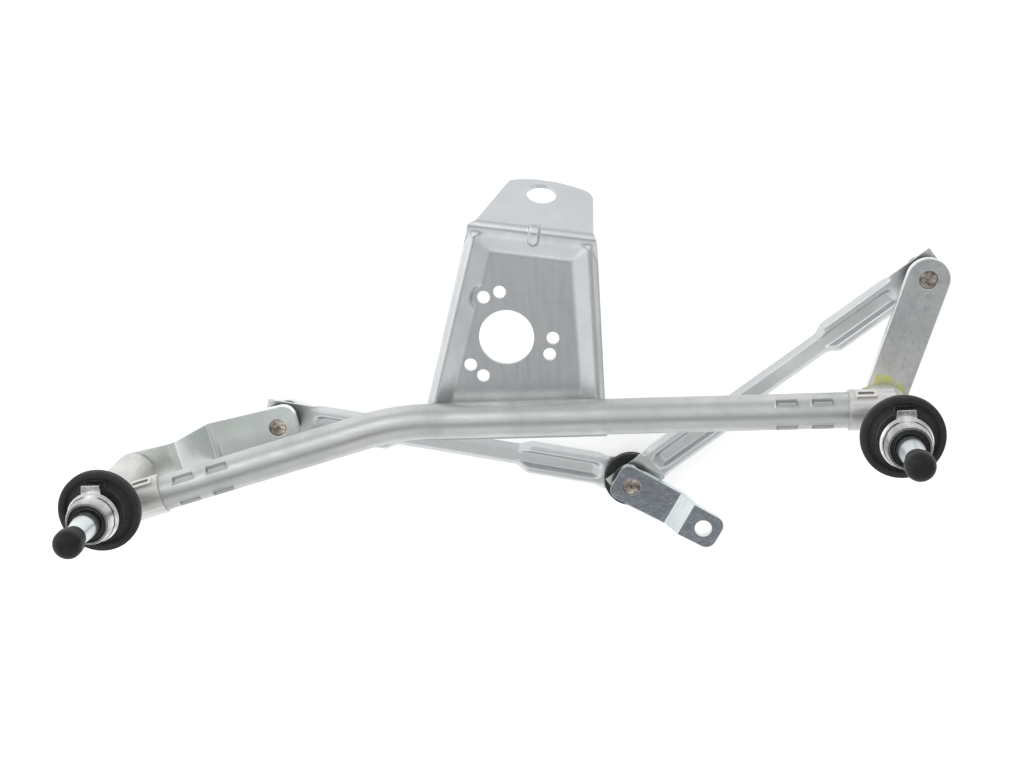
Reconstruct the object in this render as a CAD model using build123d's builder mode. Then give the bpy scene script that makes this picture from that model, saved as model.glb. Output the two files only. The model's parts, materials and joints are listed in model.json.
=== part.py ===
from build123d import *
from math import atan2, cos, degrees, hypot, radians, sin
import os

# Front windshield wiper linkage: a bent steel tube that carries a motor plate and a spindle
# housing at each end, with two cranks, two pressed link rods and a loose motor crank.
# Millimetres. The origin is the centre of the motor pilot hole, on the plate's face.
# +X runs along the straight part of the tube, +Z along the spindles, +Y towards the tab.

CUT_PAST = 1.0                     # a cut runs this far past the face it opens

# ---------------------------------------------------------------- frame tube
TUBE_D = 20.0
TUBE_WALL = 1.5
TUBE_Y = -45.0
TUBE_Z = TUBE_D / 2
BEND_R = 130.0
LEFT_RUN_ANGLE = 13.8
CRIMP_LENGTH = 10.5
CRIMP_WIDTH = 3.4
CRIMP_DEPTH = 0.9
CRIMP_CORNER = 1.2
CRIMP_STARTS = (9.0, 28.5)
CRIMP_ANGLES = (45, 135, 225, 315)

# ---------------------------------------------------------------- spindle positions
RIGHT_SPINDLE = (213.0, -52.0)
LEFT_SPINDLE = (-222.0, -75.6)
LEFT_Z = 32.0                      # height of the left spigot; the right one is at TUBE_Z
SPIGOT_SIDE = 8.0                  # the spigot passes this far beside the spindle axis
SPIGOT_REACH = 25.0                # spindle axis to the end of the tube

# ---------------------------------------------------------------- housing, from its spigot's height
BARREL_D = 24.7
BARREL_REAR = -36.0
FLANGE_D = 33.0
FLANGE_BOTTOM = 24.0
FLANGE_CONE = 4.0                  # height of the cone from the barrel out to the flange
FLANGE_TOP = 27.0
SNOUT_D = 28.4
SNOUT_SHOULDER = 43.0
SNOUT_MOUTH = 52.5
MOUTH_D = 24.6
MOUTH_BORE_D = 21.0
MOUTH_BORE_BOTTOM = 45.0
SPIGOT_SHOULDER_D = 22.8
SPIGOT_LENGTH = 40.0
KEY_ROOT_WIDTH = 13.5              # the key's width if carried in to the spindle axis
KEY_REACH = 17.6
KEY_TOP = 41.0
KEY_SIDE_ANGLE = 84.0
BUSH_D = 18.0
BUSH_LENGTH = 15.0
BUSH_CLEARANCE = 0.05
EDGE = 1.0                         # corner broken on the barrel and the snout
SNOUT_BULGE = 0.9                  # the snout's rounded end stands out this far at mid height
MOUTH_ROUNDING = 0.7
PAD_LENGTH = 12.0                  # raised pad on the spigot, with its slot
PAD_WIDTH = 5.6
PAD_HEIGHT = 1.2
PAD_SLOT_LENGTH = 9.0
PAD_SLOT_WIDTH = 2.0
PAD_SLOT_DEPTH = 1.4
PAD_SLOT_CORNER = 0.8
PAD_FROM_TUBE = 9.0
PAD_TILT = 62.0                    # degrees from +Z round to the +Y side

# ---------------------------------------------------------------- seal disc and mouth seal
SEAL_DISC_D = 45.6
SEAL_DISC_FRONT = 33.0
SEAL_WEB_D = 37.2
SEAL_WEB_FRONT = 30.5
SEAL_WEB_LAP = 0.2                 # the web and the rim overlap by this to be one ring
SEAL_RIM_FOOT = 31.1               # height at which the rim rises from the web
SEAL_RIM_INNER_D = 38.9
SEAL_RIM_ROUNDING = 1.6
MOUTH_SEAL_BOTTOM = 48.2
MOUTH_SEAL_TOP = 51.6
SEAL_GAP = 0.35
SEAL_ROUNDING = 0.8

# ---------------------------------------------------------------- spindle
SHAFT_D = 14.0
SHAFT_TOP = 58.5                   # the plain shaft ends here and the splined cone starts
CONE_TOP = 75.0
CONE_TOP_D = 10.6
THREAD_D = 8.0
THREAD_EDGE = 0.8
SHAFT_TIP = 83.0
FOOT_D = 10.8                      # riveted foot in the crank
GROOVE_DEPTH = 0.6                 # retaining ring groove
CAP_BOTTOM = 72.0
CAP_SKIRT_D = 12.4
CAP_NECK = 78.0                    # the skirt ends and the round head starts
CAP_TIP = 88.0
CAP_D = 15.8
CAP_ROUNDING = 5.4
CAP_CLEARANCE = 0.02
RETAINER_BOTTOM = 45.6
RETAINER_T = 1.2
RETAINER_D = 18.0
WASHER_D = 22.0
WASHER_PLAY = 0.1

# ---------------------------------------------------------------- cranks, rods and their pivots
CRANK_T = 5.0
CRANK_GAP = 1.0                    # housing to crank, taken up by a thrust washer
CRANK_WIDTH = 24.6
RIGHT_PIN = (237.5, 19.2)
LEFT_PIN = (-142.5, -59.2)
MOTOR_PIN = (67.3, -101.6)
MOTOR_SHAFT = (108.9, -126.0)
LEFT_PIN_CRANK_FRONT = -35.0
MOTOR_PIN_CRANK_FRONT = -35.0
MOTOR_CRANK_RISE = 8.0
MOTOR_STEP_START = 27.8            # from the ball stud
MOTOR_STEP_END = 36.6
MOTOR_END_PAST_HOLE = 10.4
MOTOR_END_PAST_PIN = 10.6
MOTOR_END_ROUNDING = 6.0
MOTOR_PIN_ROUNDING = 5.5
LEFT_STEP_START = 26.5             # from the spindle
LEFT_STEP_END = 40.5
LEFT_END_PAST_PIN = 12.0
LEFT_END_ROUNDING = 7.5
LEFT_BEND_R = 4.0
CRANK_EDGE = 0.5
NEAR_ROUND_GAP = 0.2               # flat left between the two roundings of the left crank
MOTOR_CRANK_WIDTH = 22.0
MOTOR_CRANK_END_WIDTH = 20.0
MOTOR_TAPER_START = 2.0            # from the ball stud
MOTOR_TRIM_HALF = 20.0             # half the height of the block that trims the crank's plan
MOTOR_HOLE_D = 10.0
RIGHT_ROD_TOP = -45.0
LEFT_ROD_TOP = -55.0
SHEET = 2.0
ROD_WIDTH = 20.6
ROD_WAIST = 13.0
ROD_END = 11.5                     # square end past each pivot
ROD_WIDE_REACH = 67.0              # pivot to the shoulder of the narrow middle
ROD_CHANNEL_START = 22.5
ROD_DEPTH = 7.0
ROD_GROOVE = 4.0
ROD_GROOVE_WIDTH = 8.6
ROD_WALL = 1.5                     # pressed walls and groove floor
ROD_LAP = 4.0                      # the waist runs this far under each shoulder
PIN_D = 8.0
RECESS_D = 10.6
RECESS_DEPTH = 2.4
RIVET_D = 10.4
RIVET_HEAD = 0.9
RIVET_EDGE = 0.4
BALL_R = 6.5
BALL_GAP = 0.3
SOCKET_D = 17.0
SOCKET_FLANGE_D = 20.0
SOCKET_FLANGE_T = 1.6
SOCKET_CUP = 9.5                   # ball centre to the socket's bottom
SOCKET_ROUNDING = 2.0
SOCKET_MOUTH_R = 5.9
BALL_BELOW_TOP = 3.0               # ball centre below the rod's top
MOTOR_BALL_BELOW = 4.6
BOOT_BELLY = 1.2
BOOT_NECK = 3.2
BOOT_BORE_GAP = 0.35
BOOT_PLAY = 0.4
OPEN_BUSH_R = 8.6                  # bore of the right rod's inner bush: the open pivot
OPEN_BUSH_OUTER_R = 9.5
COLLAR_D = 23.4
COLLAR_T = 4.1
DISC_D = 32.6
DISC_ROUNDING = 1.2
DISC_GAP = 0.7

# ---------------------------------------------------------------- motor plate
PLATE_T = 2.5
PLATE_CORNER = 3.0                 # rounding of the plate's foot and of the tab
PILOT_D = 31.0
BOLT_PCD = 52.0
BOLT_HOLE_D = 7.1
BOLT_FIRST_ANGLES = (-3.0, -24.0)  # two sets of three holes
RIB_HEIGHT = 4.5
RIB_TAPER = 24.0
RIB_SKIN = 2.9                     # metal left between the border's foot and its hollow
RIB_FOOT = -33.5                   # the ribs stop here, clear of the tube
TAB_HOLE_D = 16.8
TAB_BEND = 60.0
TAB_HOLE = (33.0, 24.5)            # along the crease, out from it
WELD_START = -38.0
WELD_LENGTH = 80.0
WELD_NEAR = 3.6                    # the bead's near and far feet, beside the tube's centre line
WELD_FAR = 8.2
WELD_CROWN = (6.6, 2.4)            # the bead's crown: beside the centre line, above the plate

os.makedirs("parts", exist_ok=True)


def write(piece, label):
    """Name a finished piece and write its STEP file."""
    piece.part.label = label
    export_step(piece.part, f"parts/{label}.step")


def towards(start, end):
    """Plan angle in degrees and length of the line from start to end."""
    dx = end[0] - start[0]
    dy = end[1] - start[1]
    return degrees(atan2(dy, dx)), hypot(dx, dy)


def turning_plane(axis_xy, level):
    """Upright plane through a spindle or pin axis: local X is the radius, local Y the height."""
    return Plane(origin=(axis_xy[0], axis_xy[1], level), x_dir=(1, 0, 0), z_dir=(0, -1, 0))


def upright_axis(axis_xy):
    """Axis along +Z through a point of the plan."""
    return Axis((axis_xy[0], axis_xy[1], 0), (0, 0, 1))


def link_plane(start, end, height):
    """Plane at a height whose local X runs from start to end, seen from +Z."""
    angle, _ = towards(start, end)
    direction = (cos(radians(angle)), sin(radians(angle)), 0)
    return Plane(origin=(start[0], start[1], height), x_dir=direction, z_dir=(0, 0, 1))


# ---------------------------------------------------------------- frame tube: route and section
right_tube_end = (RIGHT_SPINDLE[0] - SPIGOT_REACH, TUBE_Y, TUBE_Z)

run = radians(LEFT_RUN_ANGLE)
left_root = (
    LEFT_SPINDLE[0] + SPIGOT_SIDE * sin(run),
    LEFT_SPINDLE[1] - SPIGOT_SIDE * cos(run),
    LEFT_Z,
)
plan_run = (TUBE_Y - left_root[1]) / sin(run)
bend_corner = (left_root[0] + plan_run * cos(run), TUBE_Y, TUBE_Z)
left_axis = (Vector(*bend_corner) - Vector(*left_root)).normalized()
left_tube_end = Vector(*left_root) + left_axis * SPIGOT_REACH

with BuildPart() as frame_tube:
    with BuildLine() as tube_route:
        FilletPolyline(right_tube_end, bend_corner, left_tube_end, radius=BEND_R)
    with BuildSketch(Plane(origin=right_tube_end, z_dir=(-1, 0, 0))):
        Circle(TUBE_D / 2)
        Circle(TUBE_D / 2 - TUBE_WALL, mode=Mode.SUBTRACT)
    sweep()
    # crimps: short dents pressed round the tube over each spigot
    for end_point, inward in ((right_tube_end, Vector(-1, 0, 0)), (left_tube_end, left_axis)):
        for start in CRIMP_STARTS:
            centre = Vector(end_point) + inward * (start + CRIMP_LENGTH / 2)
            upward = Vector(0, 0, 1) - inward * inward.Z
            ring = Plane(origin=centre, x_dir=inward, z_dir=upward)
            for angle in CRIMP_ANGLES:
                face = ring.rotated((angle, 0, 0)).offset(TUBE_D / 2 - CRIMP_DEPTH)
                with BuildSketch(face):
                    RectangleRounded(CRIMP_LENGTH, CRIMP_WIDTH, CRIMP_CORNER)
                extrude(amount=CRIMP_DEPTH + CUT_PAST, mode=Mode.SUBTRACT)
write(frame_tube, "frame_tube")


# ---------------------------------------------------------------- motor plate
plate_outline = [
    (-50.5, -57.5), (54.5, -57.5), (54.0, -37.0), (52.6, 51.0), (50.5, 58.5),
    (-13.5, 68.5), (-17.8, 66.0), (-46.8, -36.5),
]
panel_outline = [(-40.0, -60.0), (41.5, -60.0), (38.0, 51.0), (-5.0, 55.5)]
crease_left = Vector(-13.0, 67.5, -PLATE_T)
crease_right = Vector(51.0, 57.5, -PLATE_T)
crease_dir = (crease_right - crease_left).normalized()
tab_up = Vector(0, 0, 1).cross(crease_dir)
tab_out = tab_up * cos(radians(TAB_BEND)) - Vector(0, 0, 1) * sin(radians(TAB_BEND))
tab_normal = crease_dir.cross(tab_out)
tab_plane = Plane(origin=crease_left, x_dir=crease_dir, z_dir=tab_normal)
tab_outline = [(0, -0.5), (13.5, 33.0), (30.0, 37.5), (58.5, 32.5), (62.0, 26.0), (64.5, -0.5)]

with BuildPart() as motor_plate:
    with BuildSketch(Plane.XY.offset(-PLATE_T)):
        with BuildLine():
            Polyline(plate_outline, close=True)
        make_face()
        fillet(vertices().sort_by(Axis.Y)[:2], PLATE_CORNER)
    extrude(amount=PLATE_T)
    # raised border round the recessed panel, pressed up from the sheet
    with BuildSketch() as border:
        with BuildLine():
            Polyline(plate_outline, close=True)
        make_face()
        with BuildLine():
            Polyline(panel_outline, close=True)
        make_face(mode=Mode.SUBTRACT)
        with Locations((0, RIB_FOOT)):
            Rectangle(300, 100, align=(Align.CENTER, Align.MAX), mode=Mode.SUBTRACT)
    extrude(amount=RIB_HEIGHT, taper=RIB_TAPER)
    # the hollow under the border
    with BuildSketch(Plane.XY.offset(-PLATE_T)):
        add(border.sketch)
        offset(amount=-RIB_SKIN, mode=Mode.REPLACE)
    extrude(amount=RIB_HEIGHT, taper=RIB_TAPER, mode=Mode.SUBTRACT)
    # tab bent back from the top edge, with its grommet hole
    with BuildSketch(tab_plane):
        with BuildLine():
            Polyline(tab_outline, close=True)
        make_face()
        fillet(vertices().sort_by(Axis.Z)[:4], PLATE_CORNER)
        with Locations(TAB_HOLE):
            Circle(TAB_HOLE_D / 2, mode=Mode.SUBTRACT)
    extrude(amount=PLATE_T)
    Hole(PILOT_D / 2)
    for first_angle in BOLT_FIRST_ANGLES:
        with PolarLocations(BOLT_PCD / 2, 3, start_angle=first_angle):
            Hole(BOLT_HOLE_D / 2)
write(motor_plate, "motor_plate")

with BuildPart() as plate_welds:
    for side in (-1, 1):
        with BuildSketch(Plane(origin=(WELD_START, TUBE_Y, 0), z_dir=(1, 0, 0), x_dir=(0, 1, 0))):
            with BuildLine():
                Polyline(
                    (side * WELD_NEAR, 0), (side * WELD_FAR, 0),
                    (side * WELD_CROWN[0], WELD_CROWN[1]), close=True,
                )
            make_face()
        extrude(amount=WELD_LENGTH)
    with Locations(Plane(origin=(WELD_START, TUBE_Y, TUBE_Z), z_dir=(1, 0, 0))):
        Cylinder(TUBE_D / 2, 3 * WELD_LENGTH, mode=Mode.SUBTRACT)
write(plate_welds, "plate_welds")


# ---------------------------------------------------------------- spindle housings
def make_housing(label, axis_xy, level, root, axis):
    """Cast housing: barrel, flange, keyed snout, and the spigot that goes into the tube."""
    centre = Plane(origin=(axis_xy[0], axis_xy[1], level))
    with BuildPart() as housing:
        with BuildSketch(turning_plane(axis_xy, level)):
            with BuildLine():
                Polyline(
                    (0, BARREL_REAR),
                    (BARREL_D / 2 - EDGE, BARREL_REAR),
                    (BARREL_D / 2, BARREL_REAR + EDGE),
                    (BARREL_D / 2, FLANGE_BOTTOM - FLANGE_CONE),
                    (FLANGE_D / 2, FLANGE_BOTTOM),
                    (FLANGE_D / 2, FLANGE_TOP),
                    (SNOUT_D / 2, FLANGE_TOP),
                    (SNOUT_D / 2, SNOUT_SHOULDER - EDGE),
                    (SNOUT_D / 2 - EDGE, SNOUT_SHOULDER),
                )
                ThreePointArc(
                    (SNOUT_D / 2 - EDGE, SNOUT_SHOULDER),
                    (MOUTH_D / 2 + SNOUT_BULGE / 2, (SNOUT_SHOULDER + SNOUT_MOUTH) / 2 + EDGE),
                    (MOUTH_D / 2 - MOUTH_ROUNDING, SNOUT_MOUTH),
                )
                Polyline((MOUTH_D / 2 - MOUTH_ROUNDING, SNOUT_MOUTH), (0, SNOUT_MOUTH), (0, BARREL_REAR))
            make_face()
        revolve(axis=upright_axis(axis_xy))
        # locating key on the snout's +Y side
        with BuildSketch(centre.offset(FLANGE_TOP)):
            with Locations((0, KEY_REACH / 2)):
                Trapezoid(KEY_ROOT_WIDTH, KEY_REACH, KEY_SIDE_ANGLE)
        extrude(amount=KEY_TOP - FLANGE_TOP)
        # spigot shoulder and spigot
        with BuildSketch(Plane(origin=root, z_dir=axis)):
            Circle(SPIGOT_SHOULDER_D / 2)
        extrude(amount=SPIGOT_REACH)
        with BuildSketch(Plane(origin=Vector(*root) + axis * SPIGOT_REACH, z_dir=axis)):
            Circle(TUBE_D / 2 - TUBE_WALL)
        extrude(amount=SPIGOT_LENGTH)
        # raised pad with a slot where the spigot meets the barrel
        pad_base = Vector(*root) + axis * (SPIGOT_REACH - PAD_FROM_TUBE)
        side = axis.cross(Vector(0, 0, 1)).normalized()
        pad_side = side if side.Y > 0 else side * -1
        pad_up = pad_side.cross(axis) if axis.X < 0 else axis.cross(pad_side)
        tilt = radians(PAD_TILT)
        pad_plane = Plane(origin=pad_base, x_dir=axis, z_dir=pad_up * cos(tilt) + pad_side * sin(tilt))
        pad_top = SPIGOT_SHOULDER_D / 2 + PAD_HEIGHT
        with BuildSketch(pad_plane.offset(SPIGOT_SHOULDER_D / 2 - PAD_HEIGHT)):
            RectangleRounded(PAD_LENGTH, PAD_WIDTH, PAD_HEIGHT)
        extrude(amount=2 * PAD_HEIGHT)
        with BuildSketch(pad_plane.offset(pad_top - PAD_SLOT_DEPTH)):
            RectangleRounded(PAD_SLOT_LENGTH, PAD_SLOT_WIDTH, PAD_SLOT_CORNER)
        extrude(amount=2 * PAD_SLOT_DEPTH, mode=Mode.SUBTRACT)
        with Locations(centre.offset(SNOUT_MOUTH)):
            CounterBoreHole(BUSH_D / 2, MOUTH_BORE_D / 2, SNOUT_MOUTH - MOUTH_BORE_BOTTOM)
    write(housing, label)


def make_bush(label, axis_xy, bottom):
    """Plain bush pressed into the housing's bore."""
    with BuildPart() as bush:
        with BuildSketch(Plane(origin=(axis_xy[0], axis_xy[1], bottom))):
            Circle(BUSH_D / 2)
            Circle(SHAFT_D / 2 + BUSH_CLEARANCE, mode=Mode.SUBTRACT)
        extrude(amount=BUSH_LENGTH)
    write(bush, label)


def make_seal_disc(label, axis_xy, level):
    """Soft ring that seals the snout against the body panel: thick round rim, thin inner web."""
    with BuildPart() as disc:
        with BuildSketch(turning_plane(axis_xy, level)):
            with BuildLine():
                Polyline(
                    (SEAL_WEB_D / 2, FLANGE_TOP),
                    (SEAL_DISC_D / 2, FLANGE_TOP),
                    (SEAL_DISC_D / 2, SEAL_DISC_FRONT),
                    (SEAL_RIM_INNER_D / 2, SEAL_DISC_FRONT),
                    (SEAL_WEB_D / 2, SEAL_RIM_FOOT),
                    close=True,
                )
            make_face()
            fillet(vertices().group_by(Axis.Z)[-1], SEAL_RIM_ROUNDING)
        revolve(axis=upright_axis(axis_xy))
        with BuildSketch(Plane(origin=(axis_xy[0], axis_xy[1], level + FLANGE_TOP))):
            Circle(SEAL_WEB_D / 2 + SEAL_WEB_LAP)
            Circle(SNOUT_D / 2, mode=Mode.SUBTRACT)
            with Locations((0, KEY_REACH / 2)):
                Trapezoid(KEY_ROOT_WIDTH, KEY_REACH, KEY_SIDE_ANGLE, mode=Mode.SUBTRACT)
        extrude(amount=SEAL_WEB_FRONT - FLANGE_TOP)
    write(disc, label)


def make_ring(label, axis_xy, bottom, top, inner, outer, soften=0.0):
    """Plain ring round a spindle axis."""
    with BuildPart() as ring:
        with BuildSketch(Plane(origin=(axis_xy[0], axis_xy[1], bottom))):
            Circle(outer)
            Circle(inner, mode=Mode.SUBTRACT)
        extrude(amount=top - bottom)
        if soften > 0:
            fillet(ring.edges().filter_by(GeomType.CIRCLE).group_by(Axis.Z)[-1], soften)
    write(ring, label)


def make_spindle(label, axis_xy, level):
    """Spindle: riveted foot in the crank, plain shaft, splined cone and threaded tip."""
    rear = BARREL_REAR - CRANK_GAP - CRANK_T
    with BuildPart() as spindle:
        with BuildSketch(turning_plane(axis_xy, level)):
            with BuildLine():
                Polyline(
                    (0, rear),
                    (FOOT_D / 2, rear),
                    (FOOT_D / 2, rear + CRANK_T),
                    (SHAFT_D / 2, rear + CRANK_T),
                    (SHAFT_D / 2, RETAINER_BOTTOM),
                    (SHAFT_D / 2 - GROOVE_DEPTH, RETAINER_BOTTOM),
                    (SHAFT_D / 2 - GROOVE_DEPTH, RETAINER_BOTTOM + RETAINER_T),
                    (SHAFT_D / 2, RETAINER_BOTTOM + RETAINER_T),
                    (SHAFT_D / 2, SHAFT_TOP),
                    (CONE_TOP_D / 2, CONE_TOP),
                    (THREAD_D / 2, CONE_TOP),
                    (THREAD_D / 2, SHAFT_TIP - THREAD_EDGE),
                    (THREAD_D / 2 - THREAD_EDGE, SHAFT_TIP),
                    (0, SHAFT_TIP),
                    close=True,
                )
            make_face()
        revolve(axis=upright_axis(axis_xy))
    write(spindle, label)


def make_cap(label, axis_xy, level):
    """Protective cap over the spindle's tip: a skirt on the cone and a round head."""
    cone_slope = (SHAFT_D - CONE_TOP_D) / 2 / (CONE_TOP - SHAFT_TOP)
    bottom_bore = SHAFT_D / 2 - cone_slope * (CAP_BOTTOM - SHAFT_TOP) + CAP_CLEARANCE
    with BuildPart() as cap:
        with BuildSketch(turning_plane(axis_xy, level)):
            with BuildLine():
                Polyline(
                    (bottom_bore, CAP_BOTTOM),
                    (CAP_SKIRT_D / 2, CAP_BOTTOM),
                    (CAP_SKIRT_D / 2, CAP_NECK - EDGE),
                    (CAP_D / 2, CAP_NECK + EDGE),
                    (CAP_D / 2, CAP_TIP),
                    (0, CAP_TIP),
                    (0, SHAFT_TIP),
                    (THREAD_D / 2 + CAP_CLEARANCE, SHAFT_TIP),
                    (THREAD_D / 2 + CAP_CLEARANCE, CONE_TOP),
                    (CONE_TOP_D / 2 + CAP_CLEARANCE, CONE_TOP),
                    close=True,
                )
            make_face()
        revolve(axis=upright_axis(axis_xy))
        fillet(cap.edges().filter_by(GeomType.CIRCLE).sort_by(Axis.Z)[-1], CAP_ROUNDING)
    write(cap, label)


for hand, spindle_xy, spigot_level, spigot_root, spigot_axis in (
    ("left", LEFT_SPINDLE, LEFT_Z, left_root, left_axis),
    ("right", RIGHT_SPINDLE, TUBE_Z, (RIGHT_SPINDLE[0], TUBE_Y, TUBE_Z), Vector(-1, 0, 0)),
):
    make_housing(f"{hand}_spindle_housing", spindle_xy, spigot_level, spigot_root, spigot_axis)
    make_bush(f"{hand}_rear_bush", spindle_xy, spigot_level + BARREL_REAR)
    make_bush(f"{hand}_front_bush", spindle_xy, spigot_level + MOUTH_BORE_BOTTOM - BUSH_LENGTH)
    make_seal_disc(f"{hand}_seal_disc", spindle_xy, spigot_level)
    make_ring(
        f"{hand}_mouth_seal", spindle_xy, spigot_level + MOUTH_SEAL_BOTTOM,
        spigot_level + MOUTH_SEAL_TOP, SHAFT_D / 2 + SEAL_GAP, MOUTH_BORE_D / 2, SEAL_ROUNDING,
    )
    make_spindle(f"{hand}_spindle", spindle_xy, spigot_level)
    make_cap(f"{hand}_spindle_cap", spindle_xy, spigot_level)
    make_ring(
        f"{hand}_retaining_ring", spindle_xy, spigot_level + RETAINER_BOTTOM,
        spigot_level + RETAINER_BOTTOM + RETAINER_T, SHAFT_D / 2 - GROOVE_DEPTH, RETAINER_D / 2,
    )
    make_ring(
        f"{hand}_thrust_washer", spindle_xy, spigot_level + BARREL_REAR - CRANK_GAP,
        spigot_level + BARREL_REAR - WASHER_PLAY, SHAFT_D / 2, WASHER_D / 2,
    )

# ---------------------------------------------------------------- cranks
right_crank_front = TUBE_Z + BARREL_REAR - CRANK_GAP
left_crank_front = LEFT_Z + BARREL_REAR - CRANK_GAP
right_crank_length = towards(RIGHT_SPINDLE, RIGHT_PIN)[1]
left_crank_length = towards(LEFT_SPINDLE, LEFT_PIN)[1]
motor_crank_length = towards(MOTOR_PIN, MOTOR_SHAFT)[1]

right_plane = link_plane(RIGHT_SPINDLE, RIGHT_PIN, right_crank_front)
with BuildPart() as right_crank:
    with BuildSketch(right_plane.offset(-CRANK_T)):
        with Locations((right_crank_length / 2, 0)):
            SlotCenterToCenter(right_crank_length, CRANK_WIDTH)
    extrude(amount=CRANK_T)
    fillet(right_crank.edges().filter_by(Plane.XY), CRANK_EDGE)
    with Locations(right_plane):
        Hole(FOOT_D / 2)
        with Locations((right_crank_length, 0, 0)):
            CounterBoreHole(PIN_D / 2, RECESS_D / 2, RECESS_DEPTH)
write(right_crank, "right_crank")

# the left crank steps down between the spindle and its ball pin
left_plane = link_plane(LEFT_SPINDLE, LEFT_PIN, left_crank_front)
left_drop = LEFT_PIN_CRANK_FRONT - left_crank_front
side_plane = Plane(
    origin=left_plane.origin,
    x_dir=left_plane.x_dir,
    z_dir=(left_plane.y_dir * -1),
)
left_end = left_crank_length + LEFT_END_PAST_PIN
with BuildPart() as left_crank:
    with BuildSketch(side_plane):
        with BuildLine():
            Polyline(
                (-CRANK_WIDTH / 2, 0), (LEFT_STEP_START, 0),
                (LEFT_STEP_END, left_drop), (left_end, left_drop),
            )
            offset(amount=CRANK_T, side=Side.RIGHT)
        make_face()
    extrude(amount=CRANK_WIDTH / 2, both=True)
    across = left_plane.y_dir
    cross_edges = left_crank.edges().filter_by(lambda e: abs(e.tangent_at(0.5).dot(across)) > 0.999)
    reach = [(left_plane.to_local_coords(e.center()).X, e) for e in cross_edges]
    fillet([e for x, e in reach if 0 < x < left_crank_length - LEFT_END_PAST_PIN], LEFT_BEND_R)
    corner_edges = left_crank.edges().filter_by(Axis.Z)
    far = [e for e in corner_edges if left_plane.to_local_coords(e.center()).X > left_end - 1]
    near = [e for e in corner_edges if left_plane.to_local_coords(e.center()).X < 0]
    fillet(far, LEFT_END_ROUNDING)
    fillet(near, CRANK_WIDTH / 2 - NEAR_ROUND_GAP)
    with Locations(left_plane):
        Hole(FOOT_D / 2)
        with Locations((left_crank_length, 0, left_drop)):
            CounterBoreHole(PIN_D / 2, RECESS_D / 2, RECESS_DEPTH)
write(left_crank, "left_crank")

# the motor crank hangs from the double ball stud, with its motor end stepped up
motor_plane = link_plane(MOTOR_PIN, MOTOR_SHAFT, MOTOR_PIN_CRANK_FRONT)
motor_end = motor_crank_length + MOTOR_END_PAST_HOLE
motor_side = Plane(
    origin=motor_plane.origin,
    x_dir=motor_plane.x_dir,
    z_dir=(motor_plane.y_dir * -1),
)
with BuildPart() as motor_crank:
    with BuildSketch(motor_side):
        with BuildLine():
            Polyline(
                (-MOTOR_END_PAST_PIN, 0), (MOTOR_STEP_START, 0),
                (MOTOR_STEP_END, MOTOR_CRANK_RISE), (motor_end, MOTOR_CRANK_RISE),
            )
            offset(amount=CRANK_T, side=Side.RIGHT)
        make_face()
    extrude(amount=MOTOR_CRANK_WIDTH / 2, both=True)
    with BuildSketch(motor_plane.offset(-MOTOR_TRIM_HALF)):
        with BuildLine():
            Polyline(
                (-MOTOR_END_PAST_PIN - CUT_PAST, MOTOR_CRANK_WIDTH / 2),
                (MOTOR_TAPER_START, MOTOR_CRANK_WIDTH / 2),
                (motor_end + CUT_PAST, MOTOR_CRANK_END_WIDTH / 2),
                (motor_end + CUT_PAST, -MOTOR_CRANK_END_WIDTH / 2),
                (MOTOR_TAPER_START, -MOTOR_CRANK_WIDTH / 2),
                (-MOTOR_END_PAST_PIN - CUT_PAST, -MOTOR_CRANK_WIDTH / 2),
                close=True,
            )
        make_face()
    extrude(amount=2 * MOTOR_TRIM_HALF, mode=Mode.INTERSECT)
    corners = motor_crank.edges().filter_by(Axis.Z)
    corner_reach = [(motor_plane.to_local_coords(e.center()).X, e) for e in corners]
    fillet([e for x, e in corner_reach if x > motor_crank_length], MOTOR_END_ROUNDING)
    fillet([e for x, e in corner_reach if x < 0], MOTOR_PIN_ROUNDING)
    with Locations(motor_plane):
        CounterBoreHole(PIN_D / 2, RECESS_D / 2, RECESS_DEPTH)
        with Locations((motor_crank_length, 0, MOTOR_CRANK_RISE)):
            Hole(MOTOR_HOLE_D / 2)
write(motor_crank, "motor_crank")


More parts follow.
